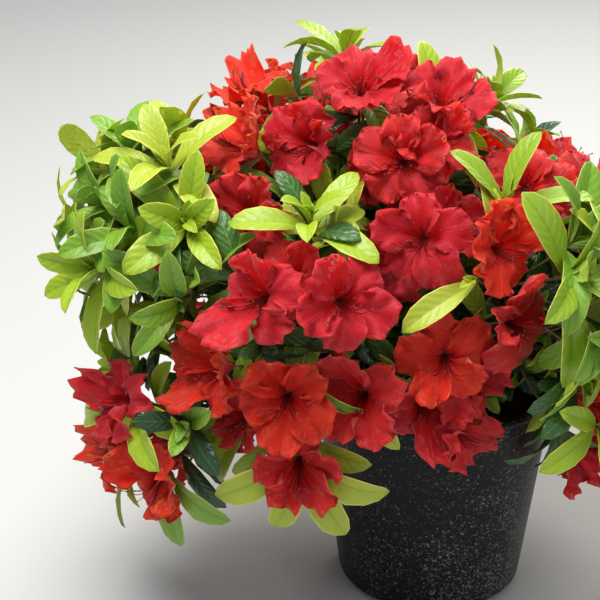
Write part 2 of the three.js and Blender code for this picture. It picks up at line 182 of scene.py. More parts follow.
def outward(bearing, rise):
    """The direction with a bearing from +X and a rise above level, in degrees."""
    flat, up = math.radians(bearing), math.radians(rise)
    return np.array([math.cos(up) * math.cos(flat), math.cos(up) * math.sin(flat), math.sin(up)])


def across(way, turn):
    """Two directions across a direction, turned about it by an angle in degrees."""
    near = np.array([1.0, 0, 0]) if abs(way[2]) > 0.9 else np.array([0, 0, 1.0])
    side = unit(np.cross(near, way))
    other = np.cross(way, side)
    angle = math.radians(turn)
    return (
        side * math.cos(angle) + other * math.sin(angle),
        other * math.cos(angle) - side * math.sin(angle),
    )


def leant(way, lean, turn):
    """A direction leant away from another by an angle, towards a turn about it, both in degrees."""
    angle = math.radians(lean)
    return way * math.cos(angle) + across(way, turn)[0] * math.sin(angle)


class Line:
    """A Bezier line through control points, read by shares of its length."""

    STEPS = 200
    NEAR = 1e-3

    def __init__(self, *points):
        self.points = np.array(points, float)
        steps = np.linspace(0, 1, self.STEPS + 1)
        along = self.place(steps)
        self.lengths = np.append(0, np.cumsum(np.linalg.norm(np.diff(along, axis=0), axis=1)))
        self.length = self.lengths[-1]
        self.steps = steps

    def place(self, t):
        """The sum over k of (n over k) t^k (1 - t)^(n - k) times control point k."""
        t = np.atleast_1d(t)[:, None]
        n = len(self.points) - 1
        return sum(
            math.comb(n, k) * t**k * (1 - t) ** (n - k) * self.points[k] for k in range(n + 1)
        )

    def at(self, share):
        """The points at shares of the line's length."""
        t = np.interp(np.atleast_1d(share) * self.length, self.lengths, self.steps)
        return self.place(t)

    def point(self, share):
        return self.at(share)[0]

    def tangent(self, share):
        """The line's direction at a share of its length."""
        low, high = max(0, share - self.NEAR), min(1, share + self.NEAR)
        return unit(self.point(high) - self.point(low))


def pot_radius(z):
    """The pot wall's outer radius at a height."""
    above = np.maximum(0, (np.asarray(z, float) - POT.flare_from) / POT.flare_span)
    return POT.foot_radius + POT.slope * z + POT.flare * above**2


@lru_cache(maxsize=None)
def corners_of(node):
    """The corners of a CAD node's mesh, in millimetres, each once."""
    mesh = frame["nodes"][node].data
    flat = np.empty(len(mesh.vertices) * 3, np.float32)
    mesh.vertices.foreach_get("co", flat)
    return np.unique(np.round(flat.reshape(-1, 3) / MM, 3), axis=0)


def found(points, node):
    """How many of some points are corners of a CAD node."""
    gaps = np.linalg.norm(corners_of(node)[None] - np.atleast_2d(points)[:, None], axis=2)
    return int((gaps.min(axis=1) < MATCH.corner).sum())


def ringed(middle, radius, node):
    """How many corners of a CAD node lie at a radius round a point."""
    gaps = np.linalg.norm(corners_of(node) - middle, axis=1)
    return int((abs(gaps - radius) < MATCH.ring).sum())


def stem_line():
    foot = np.array([0, 0, BARK.level + LIMB.clear])
    return Line(foot, foot + (0, 0, STEM.height / 2), foot + (*STEM.lean, STEM.height))


def stem_radius(share):
    """From the waist to the top evenly, and a flare at the foot that dies away as a square."""
    flare = np.maximum(0, 1 - share / STEM.flare_share)
    return STEM.waist + (STEM.top - STEM.waist) * share + (STEM.foot - STEM.waist) * flare**2


def bough_radius(thick, share):
    """From its thickness to the tip evenly, and a swelling at its foot that dies away as a square."""
    swelling = np.clip(1 - share / LIMB.swell_share, 0, 1)
    return thick + (LIMB.tip - thick) * share + LIMB.swell * swelling**2


def faced(axis):
    """The way that a bloom on an axis faces: its rise drawn halfway towards the rise of all blooms."""
    rise = axis[2] + (FACING.rise - axis[2]) * FACING.share
    return unit(np.array([*axis[:2], rise]))


def shoots_of(fork, way, blooms, shoots, spin):
    """The shoots of a mass: its blooms in a ring round its heading, its leafy shoots between them."""
    made = []
    for k in range(blooms):
        axis = leant(way, FORK.bloom_lean[blooms - 1], spin + 360 * k / blooms)
        made.append(SimpleNamespace(flower=True, axis=axis, middle=fork + axis * FORK.depth))
    around = shoots if blooms else shoots - 1
    reach = FORK.depth * FORK.shoot_reach
    for k in range(shoots):
        lean = 0 if blooms == 0 and k == 0 else FORK.shoot_lean[shoots - 1]
        axis = leant(way, lean, spin + (180 / blooms if blooms else 0) + 360 * k / around)
        made.append(SimpleNamespace(flower=False, axis=axis, middle=fork + axis * reach))
    return made


def bloom_rim(foot, way, turn, size):
    """The foot, the throat and the 15 rim points of a bloom of the part: notches and petal corners."""
    side, other = across(way, turn)
    petal = 360 / BLOOM.petals
    points = [foot, foot + way * BLOOM.throat]
    for step in range(BLOOM.petals * 3):
        notch = step % 3 == 0
        turned = (step // 3 + 0.5) * petal + (-petal / 2, -BLOOM.corner, BLOOM.corner)[step % 3]
        angle = math.radians(turned)
        radius = BLOOM.radius * size * (BLOOM.notch if notch else 1)
        rim = foot + (side * math.cos(angle) + other * math.sin(angle)) * radius
        points.append(rim + way * (BLOOM.depth - (BLOOM.dip if notch else 0)))
    return np.array(points)


def twig_line(start, tip):
    """A twig's line, which sags by a share of its length."""
    bend = (start + tip) / 2
    bend[2] -= TWIG.sag * np.linalg.norm(tip - start)
    return Line(start, bend, tip)


def leaf_frame(way, face):
    """The directions along a leaf's side and out of its upper face."""
    side = unit(np.cross(face, way))
    return side, np.cross(way, side)


def grow_bough(mass, masses, mains, trunk):
    """A mass's bough, from the stem or from its parent's bough, with the swing that the part has."""
    if hasattr(mass, "bough"):
        return mass.bough
    main = mass.parent == "stem"
    siblings = [m for m in masses if m.parent == mass.parent]
    if main:
        carrier = trunk
        share = LEAVE.low + (LEAVE.high - LEAVE.low) * mains.index(mass) / (len(mains) - 1)
    else:
        parent = next(m for m in masses if m.name == mass.parent)
        carrier = grow_bough(parent, masses, mains, trunk)
        share = LEAVE.first + LEAVE.next * siblings.index(mass)
    start = carrier.point(share)
    end = mass.fork - mass.way * MASS_STEM.length
    span = np.linalg.norm(end - start)
    level = unit((end - start) * (1, 1, 0))
    aside = np.array([-level[1], level[0], 0])
    leave = unit(level + (0, 0, LEAVE.rise) if main else level + carrier.tangent(share))
    thick = LIMB.main if main else LIMB.side
    node = f"bough_{mass.name}"

    def swung(swing):
        near = start + leave * span * LEAVE.near + aside * swing
        far = end - mass.way * span * LEAVE.far + aside * swing / 2
        return Line(start, near, far, end)

    def likeness(line):
        return sum(
            ringed(line.point(s), thick + (LIMB.tip - thick) * s, node) for s in MATCH.bough
        )

    mass.thick = thick
    mass.bough = max((swung(swing) for swing in SWINGS), key=likeness)
    return mass.bough


def grow_shoot(mass, shoot, index, turn):
    """Finds the pull and size at which the part has a shoot. False where the part has none."""
    node = f"mass_{mass.name}"
    shoot.turn, shoot.bloom = turn, None
    shoot.facing = faced(shoot.axis) if shoot.flower else shoot.axis
    start = mass.stem.point(1 - TWIG.spacing * index)
    best = (MATCH.bloom if shoot.flower else MATCH.bud, None)
    for pull in BLOOM_PULLS if shoot.flower else SHOOT_PULLS:
        tip = shoot.middle - shoot.axis * pull
        if not shoot.flower:
            best = max(best, (ringed(tip, TWIG.bud, node), (tip, None)), key=lambda b: b[0])
            continue
        for size in BLOOM_SIZES:
            foot = tip - shoot.facing * BLOOM.depth * BLOOM.set
            rim = found(bloom_rim(foot, shoot.facing, turn, size), node)
            best = max(best, (rim, (foot, size)), key=lambda b: b[0])
    if best[1] is None:
        return False
    foot, size = best[1]
    end = foot
    if shoot.flower:
        end = foot + shoot.facing * BLOOM.throat / 2
        shoot.bloom = SimpleNamespace(foot=foot, way=shoot.facing, turn=turn, size=size)
    shoot.line = twig_line(start, end)
    return True


def part_leaves(mass, shoot, draw):
    """The leaves of a shoot that the part has: root, way, facing and length of each."""
    kind = COLLAR if shoot.flower else ROSETTE
    share = TWIG.whorl if shoot.flower else 1 - kind.root / shoot.line.length
    heart = shoot.line.point(share)
    node = f"mass_{mass.name}"
    made = []
    for n in range(kind.count):
        part = n / kind.count
        way = leant(shoot.facing, kind.lean + kind.lean_span * part, shoot.turn + GOLDEN * n)
        grown = draw() if shoot.flower else part
        length = LEAF.length * (kind.length + kind.length_span * grown)
        root = heart + shoot.axis * kind.root * (0.5 - part)
        side, up = leaf_frame(way, shoot.facing)
        half = side * LEAF.width * length / LEAF.length / 2
        middle = root + way * length * LEAF.belly + up * length * LEAF.arch
        if found(np.array([root + way * length, middle + half, middle - half]), node) >= 1:
            made.append(SimpleNamespace(root=root, way=way, face=shoot.facing, length=length))
    return made


@lru_cache(maxsize=None)
def crown():
    """The stem's line, and the masses with their boughs, shoots, blooms and leaves as the part has."""
    trunk = stem_line()
    masses = []
    for index, row in enumerate(CROWN):
        name, parent, bearing, out, level, heading, rise, blooms, shoots, spin = row
        way = outward(heading, rise)
        face = outward(bearing, 0) * out + (0, 0, level)
        fork = face - way * FORK.depth
        shaded = name.endswith("under")
        large = LARGE.right if name.startswith("right") else LARGE.leafy
        masses.append(
            SimpleNamespace(
                name=name, parent=parent, level=level, way=way, fork=fork, index=index,
                blooming=blooms > 0, shaded=shaded, large=1.0 if blooms or shaded else large,
                shoots=shoots_of(fork, way, blooms, shoots, spin),
            )
        )
    mains = sorted((m for m in masses if m.parent == "stem"), key=lambda m: m.level)
    for mass in masses:
        grow_bough(mass, masses, mains, trunk)
        tangent = mass.bough.tangent(1)
        start = mass.bough.point(1) + tangent * LIMB.clear
        mass.stem = Line(start, start + tangent * MASS_STEM.length / 2, mass.fork)
        draw = seeded(mass.index + 1)
        mass.shoots = [
            s for k, s in enumerate(mass.shoots) if grow_shoot(mass, s, k, 360 * draw())
        ]
        for shoot in mass.shoots:
            shoot.leaves = part_leaves(mass, shoot, draw)
    return SimpleNamespace(trunk=trunk, masses=masses)


# Meshes.
def store(name, points, faces, looks, slots=None, smooth=True, places=None):
    """Stores an object from points in millimetres and faces of three or four corners, with a material slot
    for each face and, as its UV map, a place across and along its petal or leaf for each point."""
    faces = np.asarray(faces, np.int32)
    mesh = bpy.data.meshes.new(name)
    mesh.vertices.add(len(points))
    mesh.vertices.foreach_set("co", (np.asarray(points, np.float32) * MM).ravel())
    mesh.loops.add(faces.size)
    mesh.loops.foreach_set("vertex_index", faces.ravel())
    mesh.polygons.add(len(faces))
    mesh.polygons.foreach_set("loop_start", np.arange(0, faces.size, faces.shape[1], dtype=np.int32))
    for look in looks:
        mesh.materials.append(look)
    if slots is not None:
        mesh.polygons.foreach_set("material_index", np.asarray(slots, np.int32))
    mesh.polygons.foreach_set("use_smooth", np.full(len(faces), smooth))
    if places is not None:
        layer = mesh.uv_layers.new(name="places")
        layer.data.foreach_set("uv", places[faces.ravel()].astype(np.float32).ravel())
    mesh.update()
    mesh.validate()
    piece = bpy.data.objects.new(name, mesh)
    bpy.context.scene.collection.objects.link(piece)
    return piece


def settle(piece, nodes=()):
    """The piece rides on the plant's one body, and stands for its CAD nodes."""
    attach(piece, "root")
    if nodes:
        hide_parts(*nodes)


def grid_faces(rows, columns, closed=False):
    """The quads of a grid of points, rows x columns, its columns joined round where closed."""
    across_to = columns if closed else columns - 1
    r, c = (line.ravel() for line in np.meshgrid(np.arange(rows - 1), np.arange(across_to), indexing="ij"))
    after = (c + 1) % columns
    low, high = r * columns, (r + 1) * columns
    return np.stack([low + c, low + after, high + after, high + c], 1)


def shell_faces(rows, columns):
    """The quads of a closed thin shell: the upper grid, the lower grid turned over, and the rim between
    them. The lower grid's points follow the upper grid's."""
    upper = grid_faces(rows, columns)
    under = upper[:, ::-1] + rows * columns
    edge = np.concatenate([
        np.arange(columns - 1),
        np.arange(1, rows) * columns - 1,
        rows * columns - 1 - np.arange(columns - 1),
        np.arange(rows - 1, 0, -1) * columns,
    ])
    after = np.roll(edge, -1)
    rim = np.stack([edge, edge + rows * columns, after + rows * columns, after], 1)
    return upper, under, rim


def repeated(faces, points_each, count):
    """The faces of many copies of one shape, whose points follow one another."""
    return (faces[None] + np.arange(count)[:, None, None] * points_each).reshape(-1, faces.shape[1])


def tube_faces(rings, sides):
    """The triangles of a closed tube: a pole, rings of points, and a pole."""
    quads = grid_faces(rings, sides, closed=True) + 1
    around = np.arange(sides)
    after = (around + 1) % sides
    last = 1 + (rings - 1) * sides
    first_cap = np.stack([np.zeros_like(around), after + 1, around + 1], 1)
    last_cap = np.stack([np.full_like(around, rings * sides + 1), last + around, last + after], 1)
    return np.concatenate([first_cap, quads[:, [0, 1, 2]], quads[:, [0, 2, 3]], last_cap])


def tubes(lines, radius, sides, rings, relief=None):
    """Closed tubes along lines: at each ring a circle of radius(number, share) across the line, and a pole
    half a radius beyond its end. relief gives a factor on the radius from the millimetres along, the
    angle round and the tube's number."""
    share = np.linspace(0, 1, rings)
    angle = np.arange(sides) / sides * 2 * math.pi
    points = []
    for number, line in enumerate(lines):
        middle = line.at(share)
        along = unit(np.gradient(middle, axis=0))
        near = np.array([0.31, 0.17, 0.93]) if abs(along[0][2]) < 0.8 else np.array([0.97, 0.21, 0.1])
        side = unit(np.cross(near, along))
        other = np.cross(along, side)
        thick = np.broadcast_to(radius(number, share)[:, None], (rings, sides))
        if relief is not None:
            thick = thick * relief(share[:, None] * line.length, angle[None], number)
        circle = side[:, None] * np.cos(angle)[:, None] + other[:, None] * np.sin(angle)[:, None]
        ring = middle[:, None] + circle * thick[..., None]
        end = middle[-1:] + along[-1:] * thick[-1, 0] * 0.5
        points.append(np.concatenate([middle[:1], ring.reshape(-1, 3), end]))
    return np.concatenate(points), repeated(tube_faces(rings, sides), rings * sides + 2, len(lines))


# Materials. The veins of a petal are a noise, far finer across it, the first number, than along it. A
# leaf's side veins slant by a share of the way off its midrib. The flecks change by their slope for each
# metre, and by a share of a broad noise.
PETAL_VEINS = (34, 2.5, 1)
LEAF_VEINS = SimpleNamespace(slant=-0.45, waves=50, height=0.35)
FLECKS = SimpleNamespace(slope=(0.8, -0.2, -0.6), broad=0.18, low=0.67, high=0.78)
GRAIN = SimpleNamespace(coarse=0.2, low=0.12, high=0.4)


def texture_group(name, paint):
    """A shader node group with a Scale and a Contrast, that puts out a Mask and a Height."""
    group = bpy.data.node_groups.get(name)
    if group:
        return group
    group = bpy.data.node_groups.new(name, "ShaderNodeTree")
    for label in ("Scale", "Contrast"):
        socket = group.interface.new_socket(label, in_out="INPUT", socket_type="NodeSocketFloat")
        socket.default_value = 1.0
    for label in ("Mask", "Height"):
        group.interface.new_socket(label, in_out="OUTPUT", socket_type="NodeSocketFloat")
    source, sink = group.nodes.new("NodeGroupInput"), group.nodes.new("NodeGroupOutput")
    for label, value in zip(("Mask", "Height"), paint(group, source)):
        group.links.new(value, sink.inputs[label])
    return group


def arithmetic(tree, operation, *values):
    """The output of a Math node on sockets and plain numbers."""
    node = tree.nodes.new("ShaderNodeMath")
    node.operation = operation
    for socket, value in zip(node.inputs, values):
        if isinstance(value, bpy.types.NodeSocket):
            tree.links.new(value, socket)
        else:
            socket.default_value = value
    return node.outputs[0]


def noise(tree, source, detail, times=1.0, warp=0.0):
    """A noise on Object coordinates, in features a millimetre wide at Scale 1 and times 1, drawn out by
    warp."""
    place = tree.nodes.new("ShaderNodeTexCoord")
    texture = tree.nodes.new("ShaderNodeTexNoise")
    texture.inputs["Detail"].default_value = detail
    texture.inputs["Distortion"].default_value = warp
    tree.links.new(place.outputs["Object"], texture.inputs["Vector"])
    scale = arithmetic(tree, "MULTIPLY", source.outputs["Scale"], times / MM)
    tree.links.new(scale, texture.inputs["Scale"])
    return texture.outputs["Fac"]


def contrast(tree, source, value, low=0.35, high=0.65):
    """Spreads a value between low and high over 0 to 1, and takes the result times the Contrast."""
    spread = tree.nodes.new("ShaderNodeMapRange")
    spread.inputs["From Min"].default_value = low
    spread.inputs["From Max"].default_value = high
    tree.links.new(value, spread.inputs["Value"])
    times = arithmetic(tree, "MULTIPLY", spread.outputs["Result"], source.outputs["Contrast"])
    times.node.use_clamp = True
    return times


def living_skin():
    """The faint unevenness of a stamen, and of the floor's paint."""

    def paint(tree, source):
        fine = noise(tree, source, 3.0)
        return contrast(tree, source, fine), fine

    return texture_group("Living skin", paint)


def petal_veins():
    """Fine lines along a petal: a noise on its own places, far finer across than along."""

    def paint(tree, source):
        place = tree.nodes.new("ShaderNodeTexCoord")
        stretch = tree.nodes.new("ShaderNodeMapping")
        stretch.inputs["Scale"].default_value = PETAL_VEINS
        tree.links.new(place.outputs["UV"], stretch.inputs["Vector"])
        texture = tree.nodes.new("ShaderNodeTexNoise")
        texture.inputs["Detail"].default_value = 2.0
        tree.links.new(stretch.outputs["Vector"], texture.inputs["Vector"])
        tree.links.new(source.outputs["Scale"], texture.inputs["Scale"])
        lines = texture.outputs["Fac"]
        return contrast(tree, source, lines), lines

    return texture_group("Petal veins", paint)


def leaf_veins():
    """The side veins of a leaf, a sine of its length less 0.45 of the way off its midrib, in a faint
    unevenness."""

    def paint(tree, source):
        fine = noise(tree, source, 3.0)
        place = tree.nodes.new("ShaderNodeTexCoord")
        apart = tree.nodes.new("ShaderNodeSeparateXYZ")
        tree.links.new(place.outputs["UV"], apart.inputs["Vector"])
        off = arithmetic(tree, "ABSOLUTE", arithmetic(tree, "SUBTRACT", apart.outputs["X"], 0.5))
        slant = arithmetic(tree, "MULTIPLY_ADD", off, LEAF_VEINS.slant, apart.outputs["Y"])
        wave = arithmetic(tree, "SINE", arithmetic(tree, "MULTIPLY", slant, LEAF_VEINS.waves))
        height = arithmetic(tree, "MULTIPLY_ADD", wave, LEAF_VEINS.height, fine)
        return contrast(tree, source, fine), height

    return texture_group("Leaf veins", paint)


def pale_flecks():
    """The pale grains of recycled plastic: the peaks of a fine noise, more of them where a broad one is
    high, and up, back and towards the left the fewer."""

    def paint(tree, source):
        fine = noise(tree, source, 1.0, warp=1.2)
        broad = noise(tree, source, 2.0, times=0.05)
        place = tree.nodes.new("ShaderNodeTexCoord")
        slope = tree.nodes.new("ShaderNodeVectorMath")
        slope.operation = "DOT_PRODUCT"
        slope.inputs[1].default_value = FLECKS.slope
        tree.links.new(place.outputs["Object"], slope.inputs[0])
        together = arithmetic(tree, "MULTIPLY_ADD", broad, FLECKS.broad, fine)
        sloped = arithmetic(tree, "ADD", together, slope.outputs["Value"])
        return contrast(tree, source, sloped, FLECKS.low, FLECKS.high), fine

    return texture_group("Pale flecks", paint)


def bark_grain():
    """The mottle of bark: a coarse noise over a fine one."""

    def paint(tree, source):
        fine = noise(tree, source, 4.0)
        together = arithmetic(tree, "MULTIPLY", fine, noise(tree, source, 2.0, times=GRAIN.coarse))
        return contrast(tree, source, together, GRAIN.low, GRAIN.high), fine

    return texture_group("Bark grain", paint)


def finish(name, colour, skin, *, roughness, scale, bump, other=None, uneven=0.0, **values):
    """A material: a plain colour, or a mix towards another by a texture group's mask, with its height as
    bump. uneven spreads the roughness by the mask, and values go onto the shader's own sockets."""
    made = bpy.data.materials.new(name)
    made.use_nodes = True
    nodes, links = made.node_tree.nodes, made.node_tree.links
    shader = nodes["Principled BSDF"]
    shader.inputs["Base Color"].default_value = (*colour, 1)
    shader.inputs["Roughness"].default_value = roughness
    for socket, value in values.items():
        shader.inputs[socket.replace("_", " ").title().replace("Ior", "IOR")].default_value = value
    texture = nodes.new("ShaderNodeGroup")
    texture.node_tree = skin
    texture.inputs["Scale"].default_value = scale
    relief = nodes.new("ShaderNodeBump")
    relief.inputs["Distance"].default_value = bump * MM
    links.new(texture.outputs["Height"], relief.inputs["Height"])
    links.new(relief.outputs["Normal"], shader.inputs["Normal"])
    if uneven:
        spread = nodes.new("ShaderNodeMapRange")
        spread.inputs["To Min"].default_value = roughness - uneven
        spread.inputs["To Max"].default_value = roughness + uneven
        links.new(texture.outputs["Mask"], spread.inputs["Value"])
        links.new(spread.outputs["Result"], shader.inputs["Roughness"])
    if other is not None:
        mix = nodes.new("ShaderNodeMix")
        mix.data_type = "RGBA"
        factor, first, second, result = mix.inputs[0], mix.inputs[6], mix.inputs[7], mix.outputs[2]
        first.default_value = (*colour, 1)
        second.default_value = (*other, 1)
        links.new(texture.outputs["Mask"], factor)
        links.new(result, shader.inputs["Base Color"])
    made.diffuse_color = (*colour, 1)
    return made


def linear(red, green, blue):
    """A colour as a screen shows it, 0 to 255, as linear light."""
    share = np.array([red, green, blue]) / 255
    return tuple(np.where(share <= 0.04045, share / 12.92, ((share + 0.055) / 1.055) ** 2.4))


# Where the seeds of each kind of thing start.
SEEDS = SimpleNamespace(leaves=1000, more_blooms=3000, petals=5000, tints=6000, stamens=7000, bits=23)

# What the looks add to the part's growth, in millimetres, degrees and shares. A pair is a least value and
# the span that a seeded number adds to it. The ripple is how far, in radians, a margin's wave turns along
# a leaf and across half of it.
YOUNG, MATURE = 0, 1
TINTS = 4
ROOM = SimpleNamespace(box=8, edge=1, shallow=5, deep=13)
MORE = SimpleNamespace(
    tries=160, most=6, full=3, spacing=22, from_leafy=48, from_open=30, lean=(8, 66), reach=(0.5, 0.47),
    size=(0.84, 0.16), leave=0.8,
)
OPEN = SimpleNamespace(leans=(18, 36, 54, 72), turns=10, rise=-0.15, reach=62, tip=66, room=30)
PROBE = SimpleNamespace(shares=(0.35, 0.7, 0.88), arch=0.9, widest=0.9, taper=3.2)
OWN = SimpleNamespace(mature_blooming=0.36, mature_leafy=0.06, wide=(0.8, 0.18))
BEHIND = SimpleNamespace(lean=(72, 30), length=(34, 12), root=2, drop=3)
HANGING = SimpleNamespace(count=4, apart=42, stray=24, forward=0.3, longer=10)
HEART = SimpleNamespace(lean=(6, 16), length=(13, 14), wide=0.7, drop=1.5)
LOWER = SimpleNamespace(
    blooming=3, share=(0.3, 0.55), lean=(60, 40), length=(24, 16), wide=1.05,
    mature_blooming=0.85, mature_leafy=0.7,
)
WHORL = SimpleNamespace(
    lean=24, spread=78, stray=8, length=0.76, longer=0.26, span=0.16, drop=5, wide=0.88,
    hearts=3, heart_lean=(6, 14), heart_length=(12, 13), heart_wide=0.7,
)
SHOOTS = SimpleNamespace(
    shares={"left_leafy": 1, "right_shoots": 1, "left_under": 0.5}, up=0.4, spread=90, reach=(46, 20),
    leave=0.9, apart=26, close=18, clear=0.3, points=5, facing=0.3, leaves=8, open_leaves=9,
)
SPRAY = SimpleNamespace(
    leave=(0.35, 0.63), along=0.9, lean=(35, 50), stray=40, up=0.15, reach=(22, 22), clear=0.3, points=4,
    mature=0.6, leaves=7, leaf_lean=30, leaf_spread=9, step=0.06, length=(20, 15), wide=1.05,
)
FORM = SimpleNamespace(
    young_fold=(8, 20), mature_fold=(-4, 14), arch=(0.04, 0.1), droop=(0.02, 0.12), roll=24, sway=0.06,
    full=2.82, blunt=0.58, least=0.05, bulge=0.1, wave=0.5, ripple=(15, 1.5), thick=0.4, thin=0.2,
)
UNDERSIDE = 3

# The two kinds of leaf, young and mature: the rises and columns of a leaf's grid and the zone of each
# column of faces, the young grid's lines that are kept clear of petals, and the most leaves in a piece.
# A kind's margin, midrib and underside are steps from the tint of its blade. The young midrib's darker
# step is painted shade in its crease; the mature midrib's paler step is its own colour.
LEAF_KINDS = (
    SimpleNamespace(
        name="young", most=760, lines=(1, 3, 6), zones=np.array([0, 1, 1, 2, 1, 1, 0]),
        rises=np.array([0, 0.1, 0.25, 0.43, 0.63, 0.82, 0.94, 1]),
        columns=np.array([-1, -0.92, -0.5, -0.05, 0.05, 0.5, 0.92, 1]),
        tints=((142, 174, 42), (158, 186, 40), (118, 160, 42), (172, 190, 54)),
        # The young midrib's darker step is painted shade in the crease along it.
        margin=(50, 26, 44), midrib=(-14, -16, -8), underside=(30, 22, 34),
        roughness=0.42, bump=0.25, glow=0.25,
    ),
    SimpleNamespace(
        name="mature", most=1400, zones=np.array([1, 1, 2, 1, 1]),
        rises=np.array([0, 0.16, 0.42, 0.7, 0.91, 1]),
        columns=np.array([-1, -0.55, -0.05, 0.05, 0.55, 1]),
        tints=((44, 84, 38), (58, 100, 40), (36, 70, 38), (74, 118, 44)),
        margin=(16, 18, 12), midrib=(30, 32, 18), underside=(52, 44, 40),
        roughness=0.34, bump=0.35, glow=0.08,
    ),
)


def ranged(draw, pair):
    """A least value and a seeded share of a span."""
    return pair[0] + pair[1] * draw()


def bloom_arrays(blooms):
    """The foot, direction and radius of some blooms, as arrays."""
    return (
        np.array([b.foot for b in blooms]),
        np.array([b.way for b in blooms]),
        np.array([b.size for b in blooms]) * BLOOM.radius,
    )


def in_cups(points, arrays, depth):
    """Whether any point is in a bloom's cup or through its petals: nearer its axis than its rim, and from
    just behind the cone of the petals to a depth before it."""
    foot, way, radius = arrays
    gap = points[:, None] - foot[None]
    along = (gap * way[None]).sum(2)
    off = np.sqrt(np.maximum(0, (gap**2).sum(2) - along**2))
    cone = BLOOM.depth * off / BLOOM.radius
    return ((off < radius + ROOM.edge) & (along > cone - ROOM.edge) & (along < cone + depth)).any()


def in_bounds(points):
    """Whether points are inside the part's box, above the ground and clear of the pot."""
    low, high = (np.array(corner) / MM for corner in CAD_BOX)
    if (points < low - ROOM.box).any() or (points > high + ROOM.box).any():
        return False
    if (points[:, 2] < CLEAR.ground - ROOM.box).any():
        return False
    rim = pot_radius(points[:, 2]) + POT.lip_width / 2 + CLEAR.pot
    level = np.hypot(points[:, 0], points[:, 1])
    return not ((points[:, 2] < POT.height + CLEAR.pot) & (level < rim)).any()


def bloom_centre(bloom):
    return bloom.foot + bloom.way * BLOOM.depth * BLOOM.set


@lru_cache(maxsize=None)
def open_places():
    """For each blooming mass, the place round its fork that lies farthest from the part's blooms and from
    the places before it, as a direction and a point, where one has room. A leafy shoot grows there."""
    masses = [mass for mass in crown().masses if mass.blooming]
    taken = [bloom_centre(s.bloom) for mass in masses for s in mass.shoots if s.bloom]
    places = {}
    for mass in masses:
        upward = unit(mass.way + (0, 0, SHOOTS.up))
        best = (OPEN.room, None)
        for lean in OPEN.leans:
            for k in range(OPEN.turns):
                axis = leant(upward, lean, 360 / OPEN.turns * k)
                tip = mass.fork + axis * OPEN.reach
                room = min(np.linalg.norm(tip - t) for t in taken)
                beyond = mass.fork[None] + axis * OPEN.tip
                if room > best[0] and axis[2] > OPEN.rise and in_bounds(beyond):
                    best = (room, (axis, tip))
        if best[1] is not None:
            places[mass.name] = best[1]
            taken.append(best[1][1])
    return places


@lru_cache(maxsize=None)
def all_blooms():
    """The part's blooms, and more in the gaps between and behind them, each with its twig's line: up to
    six for each mass, and one for a mass that has three."""
    masses = crown().masses
    blooms = [s.bloom for mass in masses for s in mass.shoots if s.bloom]
    leaves = np.concatenate([leaf_probe(leaf) for m in masses for s in m.shoots for leaf in s.leaves])
    rims = [bloom_rim(b.foot, b.way, b.turn, b.size)[2:] for b in blooms]
    forks = np.array([mass.fork for mass in masses if not mass.blooming])
    tips = np.array([tip for axis, tip in open_places().values()])

    def fits(bloom, rim):
        """Whether there is room among the blooms so far, the part's leaves and the leafy shoots' places."""
        centre, own = bloom_centre(bloom), bloom_arrays([bloom])
        return (
            min(np.linalg.norm(bloom_centre(b) - centre) for b in blooms) >= MORE.spacing
            and np.linalg.norm(forks - centre, axis=1).min() >= MORE.from_leafy
            and np.linalg.norm(tips - centre, axis=1).min() >= MORE.from_open
            and in_bounds(rim)
            and not in_cups(rim, bloom_arrays(blooms), ROOM.shallow)
            and not in_cups(leaves, own, ROOM.shallow)
            and not in_cups(np.concatenate(rims), own, ROOM.shallow)
        )

    for mass in masses:
        draw = seeded(SEEDS.more_blooms + mass.index)
        left = MORE.most if sum(shoot.flower for shoot in mass.shoots) < MORE.full else 1
        for n in range(MORE.tries if mass.blooming else 0):
            axis = leant(mass.way, ranged(draw, MORE.lean), GOLDEN * n)
            reach = FORK.depth * ranged(draw, MORE.reach)
            way = faced(axis)
            foot = mass.fork + axis * reach - way * BLOOM.depth * BLOOM.set
            bloom = SimpleNamespace(foot=foot, way=way, turn=360 * draw(), size=ranged(draw, MORE.size))
            rim = bloom_rim(foot, way, bloom.turn, bloom.size)[2:]
            if fits(bloom, rim):
                bloom.line = twig_line(mass.stem.point(MORE.leave), foot)
                blooms.append(bloom)
                rims.append(rim)
                left -= 1
            if left == 0:
                break
    return blooms


@lru_cache(maxsize=None)
def cups():
    return bloom_arrays(all_blooms())


def has_room(points):
    """Whether points are in bounds and in no bloom's cup."""
    return in_bounds(points) and not in_cups(points, cups(), ROOM.deep)


def leaf_probe(leaf):
    """Points on a leaf: its tip, and its middle line and edges at three shares of its length."""
    side, up = leaf_frame(leaf.way, leaf.face)
    half = LEAF.width * leaf.length / LEAF.length / 2
    points = [leaf.root + leaf.way * leaf.length]
    for share in PROBE.shares:
        middle = leaf.root + leaf.way * leaf.length * share + up * leaf.length * LEAF.arch * PROBE.arch
        wide = half * min(PROBE.widest, PROBE.taper * (1 - share))
        points += [middle, middle + side * wide, middle - side * wide]
    return np.array(points)


def sprout(root, way, face, length, age, tint, draw, wide=1.0):
    """A leaf with its own fold, arch, roll and wave, as the seeded numbers fall."""
    return SimpleNamespace(
        root=root, way=unit(way), face=face, length=length, age=age, tint=tint, wide=wide,
        fold=ranged(draw, FORM.young_fold if age == YOUNG else FORM.mature_fold),
        arch=ranged(draw, FORM.arch), droop=ranged(draw, FORM.droop),
        roll=FORM.roll * (draw() - 0.5), phase=6.3 * draw(), sway=FORM.sway * (draw() - 0.5),
    )


